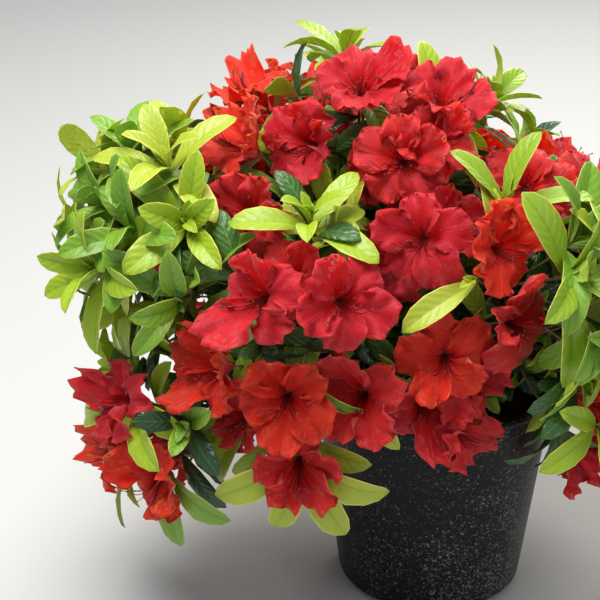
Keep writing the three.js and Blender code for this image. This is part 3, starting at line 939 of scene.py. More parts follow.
def whorl(tip, axis, turn, count, age, tint, draw, keep, large):
    """Leaves round a twig's tip, the lowest longest and most spread, and small upright ones inside."""
    facing = unit(axis + (0, 0, SHOOTS.facing))
    for n in range(count):
        part = n / count
        way = leant(facing, WHORL.lean + WHORL.spread * part + WHORL.stray * draw(), turn + GOLDEN * n)
        length = LEAF.length * (WHORL.length + WHORL.longer * part + WHORL.span * draw()) * large
        root = tip - facing * WHORL.drop * part
        keep(sprout(root, way, facing, length, age, tint, draw, WHORL.wide))
    for n in range(WHORL.hearts):
        way = leant(facing, ranged(draw, WHORL.heart_lean), turn + GOLDEN * n)
        length = ranged(draw, WHORL.heart_length)
        keep(sprout(tip - facing, way, facing, length, age, tint, draw, WHORL.heart_wide))


def hanging_way(way, number, draw):
    """A direction below a bloom: fanned out from straight down across it, and a little forward."""
    down = unit(way * way[2] - (0, 0, 1))
    step = number - (HANGING.count - 1) / 2
    angle = math.radians(step * HANGING.apart + HANGING.stray * (draw() - 0.5))
    fanned = down * math.cos(angle) + np.cross(way, down) * math.sin(angle)
    return unit(fanned + way * HANGING.forward * draw())


def bloom_collar(mass, bloom, tint, settings, draw, keep):
    """Young leaves behind a bloom, and under the low masses' blooms some that hang."""
    hanging = HANGING.count if mass.name.startswith("low") else 0
    for n in range(settings.collar_leaves + hanging):
        hangs = n >= settings.collar_leaves
        way = leant(bloom.way, ranged(draw, BEHIND.lean), 360 * draw())
        if hangs:
            way = hanging_way(bloom.way, n - settings.collar_leaves, draw)
        root = bloom.foot + way * BEHIND.root - bloom.way * BEHIND.drop * draw()
        length = ranged(draw, BEHIND.length) + HANGING.longer * hangs
        keep(sprout(root, way, bloom.way, length, YOUNG, tint, draw), ROOM.shallow)


def dress_shoot(mass, shoot, settings, draw, keep):
    """A shoot's leaves: the part's own, its bloom's collar or its rosette's heart, and older ones down
    the twig."""
    tint = int(draw() * TINTS)
    mature = OWN.mature_blooming if mass.blooming else OWN.mature_leafy
    for old in shoot.leaves:
        age = MATURE if mass.shaded or draw() < mature else YOUNG
        wide = ranged(draw, OWN.wide)
        leaf = sprout(old.root, old.way, old.face, old.length * mass.large, age, tint, draw, wide)
        keep(leaf, ROOM.shallow, bounded=False)
    if shoot.bloom:
        bloom_collar(mass, shoot.bloom, tint, settings, draw, keep)
    for n in range(0 if shoot.bloom else settings.heart_leaves):
        way = leant(shoot.facing, ranged(draw, HEART.lean), shoot.turn + GOLDEN * n)
        root = shoot.line.point(1) - way * HEART.drop
        keep(sprout(root, way, shoot.facing, ranged(draw, HEART.length), YOUNG, tint, draw, HEART.wide))
    mature = LOWER.mature_blooming if mass.blooming else LOWER.mature_leafy
    for n in range(LOWER.blooming if mass.blooming else settings.lower_leaves):
        share = ranged(draw, LOWER.share)
        root = shoot.line.point(share * (TWIG.whorl if shoot.flower else 1))
        way = leant(shoot.line.tangent(share), ranged(draw, LOWER.lean), 360 * draw())
        age = MATURE if draw() < mature else YOUNG
        length = ranged(draw, LOWER.length)
        keep(sprout(root, way, shoot.facing, length, age, tint, draw, LOWER.wide))


def more_shoots(mass, settings, draw, keep):
    """Leafy shoots beyond the part's: one at the mass's open place, and those of a leafy mass spread
    evenly over its dome, a distance apart. Gives their twigs."""
    twigs = []
    tips = [shoot.line.point(1) for shoot in mass.shoots]
    upward = unit(mass.way + (0, 0, SHOOTS.up))
    count = int(settings.rosettes * SHOOTS.shares.get(mass.name, 0))
    apart = SHOOTS.close if mass.name.startswith("right") else SHOOTS.apart
    if mass.name in open_places():
        axis, tip = open_places()[mass.name]
        twigs.append(twig_line(mass.stem.point(SHOOTS.leave), tip))
        turn = 360 * draw()
        whorl(tip, axis, turn, SHOOTS.open_leaves, YOUNG, int(draw() * TINTS), draw, keep, mass.large)
    for n in range(count):
        axis = leant(upward, SHOOTS.spread * math.sqrt((n + 0.5) / count), GOLDEN * n)
        tip = mass.fork + axis * ranged(draw, SHOOTS.reach)
        twig = twig_line(mass.stem.point(SHOOTS.leave), tip)
        near = min(np.linalg.norm(tip - t) for t in tips)
        if near < apart or not has_room(twig.at(np.linspace(SHOOTS.clear, 1, SHOOTS.points))):
            continue
        tips.append(tip)
        twigs.append(twig)
        age = MATURE if mass.shaded else YOUNG
        turn = 360 * draw()
        whorl(tip, axis, turn, SHOOTS.leaves, age, int(draw() * TINTS), draw, keep, mass.large)
    return twigs


def side_sprays(mass, settings, draw, keep):
    """Finer twigs from a bough's outer part, twice as many on the left, each with a spray of leaves.
    Gives the twigs."""
    twigs = []
    for n in range(settings.side_twigs * (2 if mass.name.startswith("left") else 1)):
        start = mass.bough.point(ranged(draw, SPRAY.leave))
        lean = ranged(draw, SPRAY.lean)
        way = leant(mass.bough.tangent(SPRAY.along), lean, GOLDEN * n + SPRAY.stray * draw())
        way = unit(way + (0, 0, SPRAY.up))
        twig = twig_line(start, start + way * ranged(draw, SPRAY.reach))
        if not has_room(twig.at(np.linspace(SPRAY.clear, 1, SPRAY.points))):
            continue
        twigs.append(twig)
        tint = int(draw() * TINTS)
        age = MATURE if draw() < SPRAY.mature else YOUNG
        for k in range(SPRAY.leaves):
            turn = 360 * draw() / SPRAY.leaves + GOLDEN * k
            leaning = leant(way, SPRAY.leaf_lean + SPRAY.leaf_spread * k, turn)
            root, length = twig.point(1 - SPRAY.step * k), ranged(draw, SPRAY.length)
            keep(sprout(root, leaning, way, length, age, tint, draw, SPRAY.wide))
    return twigs


def grow_leaves(settings):
    """Every leaf with room for it, and the twigs that are finer than the part's."""
    leaves, twigs = [], []

    def keep(leaf, depth=ROOM.deep, bounded=True):
        """Takes a leaf that stays out of the blooms' cups to a depth and, where bounded, in bounds."""
        points = leaf_probe(leaf)
        if (in_bounds(points) or not bounded) and not in_cups(points, cups(), depth):
            leaves.append(leaf)

    for mass in crown().masses:
        draw = seeded(SEEDS.leaves + mass.index)
        for shoot in mass.shoots:
            dress_shoot(mass, shoot, settings, draw, keep)
        twigs += more_shoots(mass, settings, draw, keep)
        twigs += side_sprays(mass, settings, draw, keep)
    return leaves, twigs


def leaf_points(leaves, grid):
    """The upper and lower grids of many leaves, v along and u across.
    Half width: W/2 x 2.82 v (1 - v)^0.58, swayed aside as v^2. Height: an arch 4 a v (1 - v) L, less a
    droop d v^4 L, each half turned up by the leaf's fold and bulging as sin(pi |u|), and a wave of the
    margin as |u|^3. The leaf is rolled about its length, and the lower grid is a little below."""

    def column(name):
        return np.array([getattr(leaf, name) for leaf in leaves])[:, None, None]

    v, u = grid.rises[None, :, None], grid.columns[None, None, :]
    length, fold = column("length"), np.radians(column("fold"))
    way = np.array([leaf.way for leaf in leaves])
    side, up = leaf_frame(way, np.array([leaf.face for leaf in leaves]))
    roll = np.radians(column("roll"))[:, 0]
    side, up = side * np.cos(roll) + up * np.sin(roll), up * np.cos(roll) - side * np.sin(roll)
    outline = np.maximum(FORM.full * v * (1 - v) ** FORM.blunt, FORM.least)
    half = LEAF.width / LEAF.length * length * column("wide") / 2 * outline
    x = u * half * np.cos(fold) + column("sway") * length * v**2
    z = length * (column("arch") * 4 * v * (1 - v) - column("droop") * v**4)
    z = z + abs(u) * half * np.sin(fold) + FORM.bulge * half * np.sin(math.pi * abs(u))
    along, aside = FORM.ripple
    z = z + FORM.wave * np.sin(column("phase") + along * v + aside * u) * abs(u) ** 3 * outline
    thick = FORM.thick - FORM.thin * abs(u)
    root = np.array([leaf.root for leaf in leaves])[:, None, None]

    def placed(height):
        return (
            root
            + way[:, None, None] * (length * v * np.ones_like(u))[..., None]
            + side[:, None, None] * x[..., None]
            + up[:, None, None] * height[..., None]
        )

    return np.stack([placed(z), placed(z - thick)], 1).reshape(-1, 3)


def clear_of_petals(leaves, settings):
    """The leaves whose middle line and edges cross the upper face of no petal."""
    points = petal_points(all_blooms(), settings.ruffle, settings.thickness)
    petals = points.reshape(-1, 2, PETAL.rows * PETAL.columns, 3)[:, 0]
    faces = repeated(grid_faces(PETAL.rows, PETAL.columns), PETAL.rows * PETAL.columns, len(petals))
    tree = BVHTree.FromPolygons(petals.reshape(-1, 3).tolist(), faces.tolist())
    grid = LEAF_KINDS[YOUNG]
    grids = leaf_points(leaves, grid).reshape(len(leaves), 2, len(grid.rises), len(grid.columns), 3)
    lines = grids[:, 0][:, :, grid.lines]
    starts, steps = lines[:, :-1], np.diff(lines, axis=1)
    spans = np.linalg.norm(steps, axis=-1)
    kept = []
    for leaf, begin, step, span in zip(leaves, starts, steps, spans):
        rays = zip(begin.reshape(-1, 3), step.reshape(-1, 3), span.ravel())
        if not any(tree.ray_cast(start, way, far)[0] for start, way, far in rays):
            kept.append(leaf)
    return kept


def leaf_slots(leaves, grid):
    """The material slot of each face: for each tint the looks of three zones above, and one below."""
    under, rim = shell_faces(len(grid.rises), len(grid.columns))[1:]
    zones = np.tile(grid.zones, len(grid.rises) - 1)
    each = np.concatenate([zones, np.full(len(under), UNDERSIDE), np.zeros(len(rim), int)])
    tints = np.array([leaf.age * TINTS + leaf.tint for leaf in leaves])
    return (tints[:, None] * (UNDERSIDE + 1) + each[None]).ravel()


def leaf_looks():
    """For each tint of young leaf, and then of mature: its margin, blade, midrib and underside."""
    looks = []
    skin = leaf_veins()
    for kind in LEAF_KINDS:
        zones = {
            "margin": kind.margin, "blade": (0, 0, 0), "midrib": kind.midrib, "underside": kind.underside
        }
        for number, tint in enumerate(kind.tints):
            for zone, off in zones.items():
                colour = np.clip(np.array(tint, float) + off, 0, 255)
                looks.append(
                    finish(
                        f"{kind.name}_leaf_{zone}_{number}", linear(*colour), skin,
                        roughness=kind.roughness, scale=0.6, bump=kind.bump, uneven=0.08,
                        subsurface_weight=kind.glow,
                        subsurface_radius=(0.0012, 0.002, 0.0003), subsurface_scale=1.0,
                    )
                )
    return looks


# The blooms. The broad, close and frill waves are how often each goes round a petal's middle, and its
# height as a share of the ruffle. A lean, curl or cup is a middle value, and how far a petal's own
# seeded number takes it either way.
PETAL = SimpleNamespace(
    rows=10, columns=23, most=50, draws=14, closer=(1.2, 0.8), foot=0.7, near=(4, 11), far=(14, 16.5),
    round=0.32, power=2.6, longest=1.1, reach=0.07, widen=0.36, throat=(0.3, 0.4), swing=0.1,
    middle=(0.55, 1.3), margin=(2.2, 1.2), frilled=(0.35, 0.65), most_margin=1.2, nick=(0.02, 1.2),
    broad=(6, 0.7), close=(10, 0.5), frill=(19, 0.42), across=((4.6, 8), 0.3), thinner=0.5,
    bend=0.3, lean=(3, 14), curl=(3, 9), closing=4, cup=(1, 4.5), twist=4, tilt=0.6, groove=(1.1, 0.16),
)
# The steps of a petal's colour out of its throat, whose dark is partly painted shade, and the margin's
# lighter step, a painted highlight.
SHADES = SimpleNamespace(
    steps=(0.1, 0.22, 0.34, 0.46), midrib=0.1, wave=(0.03, 9), blotch=1.35,
    rim=0.93, side=(0.88, 0.7), margin=5, back=6, count=7, lighter=(16, 12, 10), paler=(4, 16, 18),
)
# Each tint is a body, a heart and a throat. The throat's deep red is partly the bloom's own and partly
# painted shade in the deep throat, and the body's pink tinge is partly painted sheen.
PETAL_TINTS = (
    ((215, 34, 36), (211, 16, 12), (122, 2, 2)),
    ((207, 28, 40), (201, 14, 19), (114, 1, 5)),
    ((226, 39, 20), (222, 22, 5), (132, 3, 0)),
)
STAMEN = SimpleNamespace(
    length=(24, 7), pistil=34, foot=4, stray=0.4, apart=(1.2, 3, 13), bend=0.55, sag=(8, 4),
    end=0.82, dip=(1, 9), raised=4, radius=(0.34, 0.08), anther=(0.95, 0.6),
)


def petal_profile(t):
    """The middle line of a petal, radius and height, at t: a cubic Bezier from the foot to the rim."""
    near, far = 3 * (1 - t) ** 2 * t, 3 * (1 - t) * t**2
    radius = near * PETAL.near[0] + far * PETAL.far[0] + t**3 * BLOOM.radius + PETAL.foot * (1 - t) ** 3
    height = near * PETAL.near[1] + far * PETAL.far[1] + t**3 * BLOOM.depth
    return radius, height


def petal_grid():
    """The places on a petal: v from foot to rim and u across, both closer together towards the margin."""
    v = 1 - (1 - np.linspace(0, 1, PETAL.rows)) ** PETAL.closer[0]
    u = np.linspace(-1, 1, PETAL.columns)
    return v, np.sign(u) * abs(u) ** PETAL.closer[1]


def petal_draws(count):
    """The seeded numbers of each petal of some blooms, bloom by bloom."""
    rows = []
    for number in range(count):
        draw = seeded(SEEDS.petals + number)
        rows.append([[draw() for _ in range(PETAL.draws)] for _ in range(BLOOM.petals)])
    return np.array(rows)[..., None, None]


def petal_folds(v, u, fold, wave):
    """The folds of a petal's margin, and the nicks that they draw into its outline. The folds are three
    sines of the angle round the petal's middle. They grow with the margin, |u|^2.2 v^1.2 and the square
    of v past 0.35 of the way, and the finest with its cube besides."""
    turn = np.arctan2(PETAL.middle[1] * (v - PETAL.middle[0]), u)
    outer = np.clip((v - PETAL.frilled[0]) / PETAL.frilled[1], 0, 1)
    margin = abs(u) ** PETAL.margin[0] * v ** PETAL.margin[1] + outer**2
    margin = np.clip(margin, 0, PETAL.most_margin)
    (broad, high), (close, middling), (frill, low) = PETAL.broad, PETAL.close, PETAL.frill
    closely = (close + fold) * turn + wave[1]
    folds = high * np.sin((broad + fold) * turn + wave[0]) + middling * np.sin(closely)
    folds = folds + low * margin**3 * np.sin((frill + 2 * fold) * turn + wave[4])
    return margin * folds, PETAL.nick[0] * margin * np.sin(closely + PETAL.nick[1])


def petal_points(blooms, ruffle, thickness):
    """The upper and lower grids of every petal of many blooms, v from foot to rim and u across.
    A petal is the cone's sector, widened beyond the throat so that neighbours overlap, up to
    t = v (1 - 0.32 |u|^2.6), which rounds its end. Each leans back or forward by its own amount as
    (t - 0.3)^2 and curls as its square, cups or rolls its sides as u^2 v^2, twists as u v^2, and has a
    groove for a midrib. Its margin is drawn into folds, two sines of u ripple it across, and it thins
    to half as v^3."""
    v, u = petal_grid()
    v, u = v[None, None, :, None], u[None, None, None, :]
    own = petal_draws(len(blooms))
    wave = [own[:, :, k] * 2 * math.pi for k in range(7)]
    lean, reach, swing, curl, cup, twist, fold = (own[:, :, k] * 2 - 1 for k in range(7, 14))
    closing = own[:, :1, 0] * 2 - 1
    folds, nicks = petal_folds(v, u, fold, wave)
    t = v * (1 - PETAL.round * abs(u) ** PETAL.power)
    t = np.clip(t * (1 + PETAL.reach * reach + nicks), 0, PETAL.longest)
    radius, height = petal_profile(t)
    ahead = petal_profile(t + 1e-3)
    slope = np.stack([ahead[0] - radius, ahead[1] - height])
    slope = slope / np.hypot(*slope)
    out = np.clip((t - PETAL.bend) / (1 - PETAL.bend), 0, None)
    rise = out**2 * (PETAL.lean[0] + PETAL.lean[1] * lean) - out**4 * (PETAL.curl[0] + PETAL.curl[1] * curl)
    rise = rise + PETAL.closing * closing * out
    (few, many), low = PETAL.across
    lift = ruffle * (folds + low * v**1.5 * (np.sin(few * u + wave[2]) + np.sin(many * u + wave[3])))
    lift = lift + (PETAL.cup[1] * cup + PETAL.cup[0]) * u**2 * v**2
    lift = lift + PETAL.twist * twist * u * v**2 + PETAL.tilt * u * v
    deep, wide = PETAL.groove
    lift = lift - deep * np.exp(-((u / wide) ** 2)) * np.sin(math.pi * np.clip(t, 0, 1))
    angle = (np.arange(BLOOM.petals) + 0.5)[None, :, None, None] * 2 * math.pi / BLOOM.petals
    spread = 1 + PETAL.widen * np.clip((v - PETAL.throat[0]) / PETAL.throat[1], 0, 1)
    angle = angle + u * math.pi / BLOOM.petals * spread + PETAL.swing * swing * out

    def column(values):
        return np.array(values)[:, None, None, None]

    size, way, foot = (column([getattr(b, name) for b in blooms]) for name in ("size", "way", "foot"))
    side, other = (column(ways) for ways in zip(*(across(b.way, b.turn) for b in blooms)))

    def placed(off):
        r = (radius - off * slope[1]) * size
        h = (height + rise + off * slope[0]) * size
        level = side * (r * np.cos(angle))[..., None] + other * (r * np.sin(angle))[..., None]
        return foot + level + way * h[..., None]

    both = np.stack([placed(lift), placed(lift - thickness * (1 - PETAL.thinner * v**3))], 2)
    return both.reshape(len(blooms), -1, 3)


def petal_slots(blooms):
    """The material slot of each petal face, a row for each bloom: darkest in the throat and lighter in
    steps, further out along the midrib, a lighter margin, and one look for the back. The throat's dark is
    partly the bloom's own deeper red and partly painted shade in the deep throat, and the lighter margin
    is a painted highlight. On the upper petal the dark reaches further, as its blotch. The third tint,
    the brightest, is for the part's own blooms alone, so that the added blooms, deeper in the crown,
    are darker as painted shade."""
    under, rim = shell_faces(PETAL.rows, PETAL.columns)[1:]
    v, u = (abs(line[:-1] + line[1:]) / 2 for line in petal_grid())
    v, u = v[:, None], u[None]

    def zones(depth):
        """0 to 4 by how many of the steps v is past, the steps taken deeper along the midrib."""
        place = v - SHADES.midrib * (1 - u) + SHADES.wave[0] * np.cos(SHADES.wave[1] * u)
        above = sum((place > step * depth).astype(int) for step in SHADES.steps)
        edge = (v > SHADES.rim) | ((u > SHADES.side[0]) & (v > SHADES.side[1]))
        above = np.where(edge, SHADES.margin, above).ravel()
        below = np.full(len(under), SHADES.back)
        return np.concatenate([above, below, np.full(len(rim), SHADES.margin)])

    plain, blotch = zones(1), zones(SHADES.blotch)
    angles = (np.arange(BLOOM.petals) + 0.5) * 2 * math.pi / BLOOM.petals
    slots = []
    for number, bloom in enumerate(blooms):
        # The added blooms, deeper in the crown, draw from the first two tints alone, so they are darker:
        # painted shade.
        tints = len(PETAL_TINTS) - hasattr(bloom, "line")
        tint = int(seeded(SEEDS.tints + number)() * tints)
        side, other = across(bloom.way, bloom.turn)
        top = int(np.argmax(np.cos(angles) * side[2] + np.sin(angles) * other[2]))
        faces = [blotch if k == top else plain for k in range(BLOOM.petals)]
        slots.append(np.concatenate(faces) + tint * SHADES.count)
    return np.array(slots)


def petal_looks():
    """For each tint: five steps from the throat to the body, the margin, and the back. The throat's dark is
    partly painted shade, the body's pink partly painted sheen, and the margin's lighter step a painted
    highlight.
    """
    looks = []
    for number, tint in enumerate(PETAL_TINTS):
        body, heart, throat = (np.array(colour, float) for colour in tint)
        steps = [throat, (throat + heart) / 2, heart, (heart + body) / 2, body]
        # The margin's lighter step is a painted highlight; the back's paler step is its own colour.
        steps += [np.minimum(body + off, 255) for off in (SHADES.lighter, SHADES.paler)]
        for step, colour in enumerate(steps):
            looks.append(
                finish(
                    f"petal_{number}_{step}", linear(*colour), petal_veins(), roughness=0.62, scale=1.0,
                    bump=0.5, uneven=0.1, subsurface_weight=0.5,
                    subsurface_radius=(0.005, 0.0006, 0.0003), subsurface_scale=1.0,
                    specular_ior_level=0.22, sheen_weight=0.3, sheen_roughness=0.35,
                    sheen_tint=(1.0, 0.6, 0.58, 1.0),
                )
            )
    return looks


def stamen_lines(blooms, count):
    """The lines of each bloom's stamens and its longer pistil: out of the throat, sagging towards
    the lower petals, and then bent up and apart at their ends."""
    lines = []
    for number, bloom in enumerate(blooms):
        draw = seeded(SEEDS.stamens + number)
        down = np.array([0, 0, -1.0])
        down = unit(down - bloom.way * (down @ bloom.way))
        level = np.cross(bloom.way, down)
        for k in range(count + 1):
            pistil = k == count
            spread = (k / count - 0.5) * 2 + STAMEN.stray * (draw() - 0.5)
            length = (STAMEN.pistil if pistil else ranged(draw, STAMEN.length)) * bloom.size
            apart = [level * spread * width for width in STAMEN.apart]
            start = bloom.foot + bloom.way * STAMEN.foot + apart[0]
            bend = start + bloom.way * length * STAMEN.bend + down * ranged(draw, STAMEN.sag) + apart[1]
            dip = ranged(draw, STAMEN.dip) - STAMEN.raised * pistil
            end = start + bloom.way * length * STAMEN.end + down * dip + apart[2]
            lines.append(Line(start, bend, end))
    return lines


def seeds(middles, ways):
    """Octahedra at points, drawn out along directions: the anthers."""
    long, wide = STAMEN.anther
    middles, ways = np.array(middles), unit(np.array(ways))
    side = unit(np.cross(ways, (0.31, 0.2, 0.93)))
    other = np.cross(ways, side)
    corners = [ways * long, -ways * long, side * wide, other * wide, -side * wide, -other * wide]
    points = np.stack([middles + corner for corner in corners], 1).reshape(-1, 3)
    around = [(2, 3), (3, 4), (4, 5), (5, 2)]
    one = np.array([(0, a, b) for a, b in around] + [(1, b, a) for a, b in around])
    return points, repeated(one, 6, len(middles))


def in_batches(items, most):
    """A list cut into as few equal runs as hold at most so many each."""
    runs = math.ceil(len(items) / most)
    return [items[k * len(items) // runs : (k + 1) * len(items) // runs] for k in range(runs)]


# The ridges of bark: how often each of three waves goes round a limb, its turn in radians for each
# millimetre along it, and the third's height as a share of the others'.
RIDGES = SimpleNamespace(waves=((5, 0.11), (2, 0.23), (3, 0.9)), low=0.5)


def ridged(depth):
    """The relief of bark, as tubes() takes it: 1, and crossed ridges that wind up a limb, sines of the
    angle round it and the millimetres along it."""

    def relief(along, angle, number):
        winding, crossed, fine = (times * angle + each * along for times, each in RIDGES.waves)
        ridge = np.sin(winding + number) * np.sin(crossed)
        return 1 + depth * ridge + RIDGES.low * depth * np.sin(fine + number)

    return relief


def twig_tubes(fine):
    """The tubes of each mass's stem, of the part's own twigs and of the finer ones."""
    masses = crown().masses
    shoots = [shoot for mass in masses for shoot in mass.shoots]
    fine = fine + [bloom.line for bloom in all_blooms() if hasattr(bloom, "line")]
    lines = [mass.stem for mass in masses]
    lines += [twig_line(s.line.points[0], s.bloom.foot) if s.bloom else s.line for s in shoots]
    thick = [MASS_STEM.radius] * len(masses) + [TWIG.radius] * len(shoots) + [TWIG.fine] * len(fine)
    return tubes(lines + fine, lambda n, share: thick[n] * (1 - TWIG.taper * share), sides=7, rings=9)


def places_on(v, u, count):
    """The UV places of many thin shells: u across and v along on the upper grid, and again on the lower."""
    v, u = np.meshgrid(v, u / 2 + 0.5, indexing="ij")
    return np.tile(np.stack([u.ravel(), v.ravel()], 1), (2 * count, 1))


# The pot and its bark. A wave of the bark's top is its turn for each millimetre of x and of y, where it
# starts, and its height as a share.
LIP = SimpleNamespace(power=0.6, low=1.2, high=1.5, inner=0.6)
BED = SimpleNamespace(
    deep=2, edge=84, fade=12, high=0.8, sunk=0.4,
    waves=((0.31, 0.2, 0, 1), (-0.37, 0.23, 1, 1), (0.9, 0.7, 0, 0.6)),
)
BITS = SimpleNamespace(
    from_wall=5, from_middle=0.02, lift=(0.2, 2.4), tilt=0.22, taper=0.35,
    length=(2, 7), width=(1, 2.6), height=(0.3, 0.9),
)
BIT_TINTS = ((92, 50, 30), (120, 70, 44), (58, 36, 26))


def lathe(profile, sides, ripple=None):
    """A closed body turned from a profile that starts and ends on the axis, its first and last points
    being poles. ripple may move the points, given as rows of rings."""
    profile = np.array(profile, float)
    angle = np.arange(sides) / sides * 2 * math.pi
    radius, height = profile[1:-1, 0][:, None], profile[1:-1, 1][:, None]
    rings = np.stack([radius * np.cos(angle), radius * np.sin(angle), height + 0 * angle], 2)
    if ripple is not None:
        rings = ripple(rings)
    poles = [[0, 0, profile[0, 1]], [0, 0, profile[-1, 1]]]
    points = np.concatenate([poles[:1], rings.reshape(-1, 3), poles[1:]])
    return points, tube_faces(len(profile) - 2, sides)


def walled(inward, heights):
    """Points that follow the pot wall's outer radius, less so many millimetres, at some heights."""
    return [(float(pot_radius(z)) - inward, z) for z in heights]


def pot_profile():
    """Up the outside from the middle of the foot: a rounded heel, the wall, the rolled lip as two arcs,
    and down the inside to the floor."""
    foot = POT.foot_radius - POT.foot_round
    reach = POT.foot_round * (1 + POT.slope)
    rim = float(pot_radius(POT.height))
    lip_foot = POT.height - POT.lip_height
    quarter = np.radians(np.linspace(0, 90, 8))
    turn = np.radians(np.linspace(-80, 90, 9))

    def rolled(angles, middle, half):
        """A flattened arc: out as the cosine's power, and up as the sine."""
        out = [rim + POT.lip_width / 2 * max(math.cos(a), 0) ** LIP.power for a in angles]
        return [(r, middle + half * math.sin(a)) for r, a in zip(out, angles)]

    return [
        (0, 0),
        (foot * 0.6, 0),
        *[(foot + reach * math.sin(a), POT.foot_round * (1 - math.cos(a))) for a in quarter],
        *walled(0, np.linspace(POT.foot_round + 4, lip_foot, 26)),
        *rolled(turn[:4], lip_foot + LIP.low, LIP.low),
        *rolled(turn[4:], POT.height - LIP.high, LIP.high),
        (rim - POT.wall + LIP.inner, POT.height),
        (rim - POT.wall, POT.height - LIP.inner),
        *walled(POT.wall, np.linspace(POT.height - 4, POT.foot_round + POT.floor, 20)),
        (foot, POT.floor),
        (0, POT.floor),
    ]


def bark_profile():
    """The outline of the bark's body, up its side and in over its top in close rings."""
    inside = POT.wall + BARK.wall_gap
    edge = float(pot_radius(BARK.level)) - inside
    low = POT.floor + BARK.floor_gap
    return [
        (0, low),
        (POT.foot_radius - BARK.foot_round, low),
        *walled(inside, np.linspace(BARK.foot_round + 1, BARK.level - 2, 12)),
        *[(edge * share, BARK.level) for share in np.linspace(1, 0.03, 34)],
        (0, BARK.level),
    ]


def unevenness(points):
    """Lifts and lowers the top of the bark, away from the wall, by three crossed waves, a millimetre or
    two high."""
    x, y, z = points[..., 0], points[..., 1], points[..., 2]
    top = np.clip((z - BARK.level + BED.deep) / BED.deep, 0, 1)
    top = top * np.clip((BED.edge - np.hypot(x, y)) / BED.fade, 0, 1)
    waves = sum(share * np.sin(a * x + b * y + start) for a, b, start, share in BED.waves)
    moved = points.copy()
    moved[..., 2] = z + top * (BED.high * waves - BED.sunk)
    return moved


def bits(count):
    """Flat bits of bark: boxes with tapered ends, strewn over the top of the potting bark."""
    draw = np.random.default_rng(SEEDS.bits)
    angle = draw.uniform(0, 2 * math.pi, count)
    edge = float(pot_radius(BARK.level)) - POT.wall - BITS.from_wall
    out = edge * np.sqrt(draw.uniform(BITS.from_middle, 1, count))
    lift = draw.uniform(*BITS.lift, count)
    middle = np.stack([out * np.cos(angle), out * np.sin(angle), BARK.level + lift], 1)
    turn = draw.uniform(0, 2 * math.pi, count)
    tilt = draw.normal(0, BITS.tilt, (count, 2))
    way = unit(np.stack([np.cos(turn), np.sin(turn), tilt[:, 0]], 1))
    side = unit(np.cross(np.stack([tilt[:, 1], 0 * turn, 1 + 0 * turn], 1), way))
    up = np.cross(way, side)
    size = np.stack([draw.uniform(*span, count) for span in (BITS.length, BITS.width, BITS.height)], 1)
    corner = np.array([(a, b, c) for a in (-1, 1) for b in (-1, 1) for c in (-1, 1)], float)
    taper = 1 - BITS.taper * draw.uniform(0, 1, (count, 8, 3))
    local = corner[None] * taper * size[:, None]
    along, aside, above = local[..., :1], local[..., 1:2], local[..., 2:]
    points = middle[:, None] + along * way[:, None] + aside * side[:, None] + above * up[:, None]
    one = np.array([(0, 1, 3, 2), (4, 6, 7, 5), (0, 4, 5, 1), (2, 3, 7, 6), (0, 2, 6, 4), (1, 5, 7, 3)])
    return points.reshape(-1, 3), repeated(one, 8, count), np.repeat(draw.integers(0, 3, count), 6)


# What a user would change.
def tone(name, description, default):
    """A colour among the settings."""
    return FloatVectorProperty(name=name, description=description, subtype="COLOR", default=default)


class AzaleaPotSettings(bpy.types.PropertyGroup):
    """The pot and the bark in it."""

    sides: IntProperty(name="Sides", description="Sides of the round pot", default=112, min=12)
    plastic: tone("Plastic", "The colour of the pot", (0.0042, 0.0043, 0.0048))
    fleck: tone("Fleck", "The colour of its pale grains", (0.2, 0.203, 0.21))
    bit_count: IntProperty(name="Bark bits", description="Bits of bark on the top", default=850, min=0)


class AzaleaLimbSettings(bpy.types.PropertyGroup):
    """The stem, the boughs and the twigs."""

    relief: FloatProperty(
        name="Relief", description="How far the bark stands up, as a share of the radius", default=0.09
    )
    bark: tone("Bark", "The colour of the limbs", (0.105, 0.062, 0.04))
    twig: tone("Twig", "The colour of the young twigs", (0.15, 0.13, 0.05))


class AzaleaBloomSettings(bpy.types.PropertyGroup):
    """The petals and the stamens."""

    ruffle: FloatProperty(
        name="Ruffle", description="Height of the waves in a petal's margin, in millimetres", default=3.4
    )
    thickness: FloatProperty(name="Petal", description="A petal's thickness, in millimetres", default=0.35)
    stamens: IntProperty(name="Stamens", description="Stamens in each bloom", default=7, min=1)
    stamen: tone("Stamen", "The colour of the stamens", (0.16, 0.004, 0.006))
    anther: tone("Anther", "The colour of their tips", (0.2, 0.07, 0.06))


class AzaleaLeafSettings(bpy.types.PropertyGroup):
    """The leaves."""

    heart_leaves: IntProperty(
        name="Heart leaves", description="Small upright leaves in a leafy shoot's heart", default=4
    )
    lower_leaves: IntProperty(
        name="Lower leaves", description="Older leaves down each twig of a leafy mass", default=5
    )
    collar_leaves: IntProperty(
        name="Collar leaves", description="Young leaves behind each bloom of the part", default=2
    )
    rosettes: IntProperty(
        name="Rosettes", description="Places for more leafy shoots in a leafy mass", default=32
    )
    side_twigs: IntProperty(
        name="Side twigs", description="Places for finer twigs on each bough's outer part", default=10
    )


class AzaleaStageSettings(bpy.types.PropertyGroup):
    """The floor, the light and the camera."""

    floor: tone("Floor", "The colour of the floor", (0.62, 0.62, 0.6))
    camera_place: FloatVectorProperty(
        name="Camera", description="Where the camera is", subtype="TRANSLATION",
        default=(-0.0871, -1.0424, 0.6831),
    )
    camera_pitch: FloatProperty(
        name="Pitch", description="How far the camera looks down", subtype="ANGLE", default=math.radians(25)
    )
    lens: FloatProperty(name="Lens", description="Its focal length, in millimetres", default=108.8)


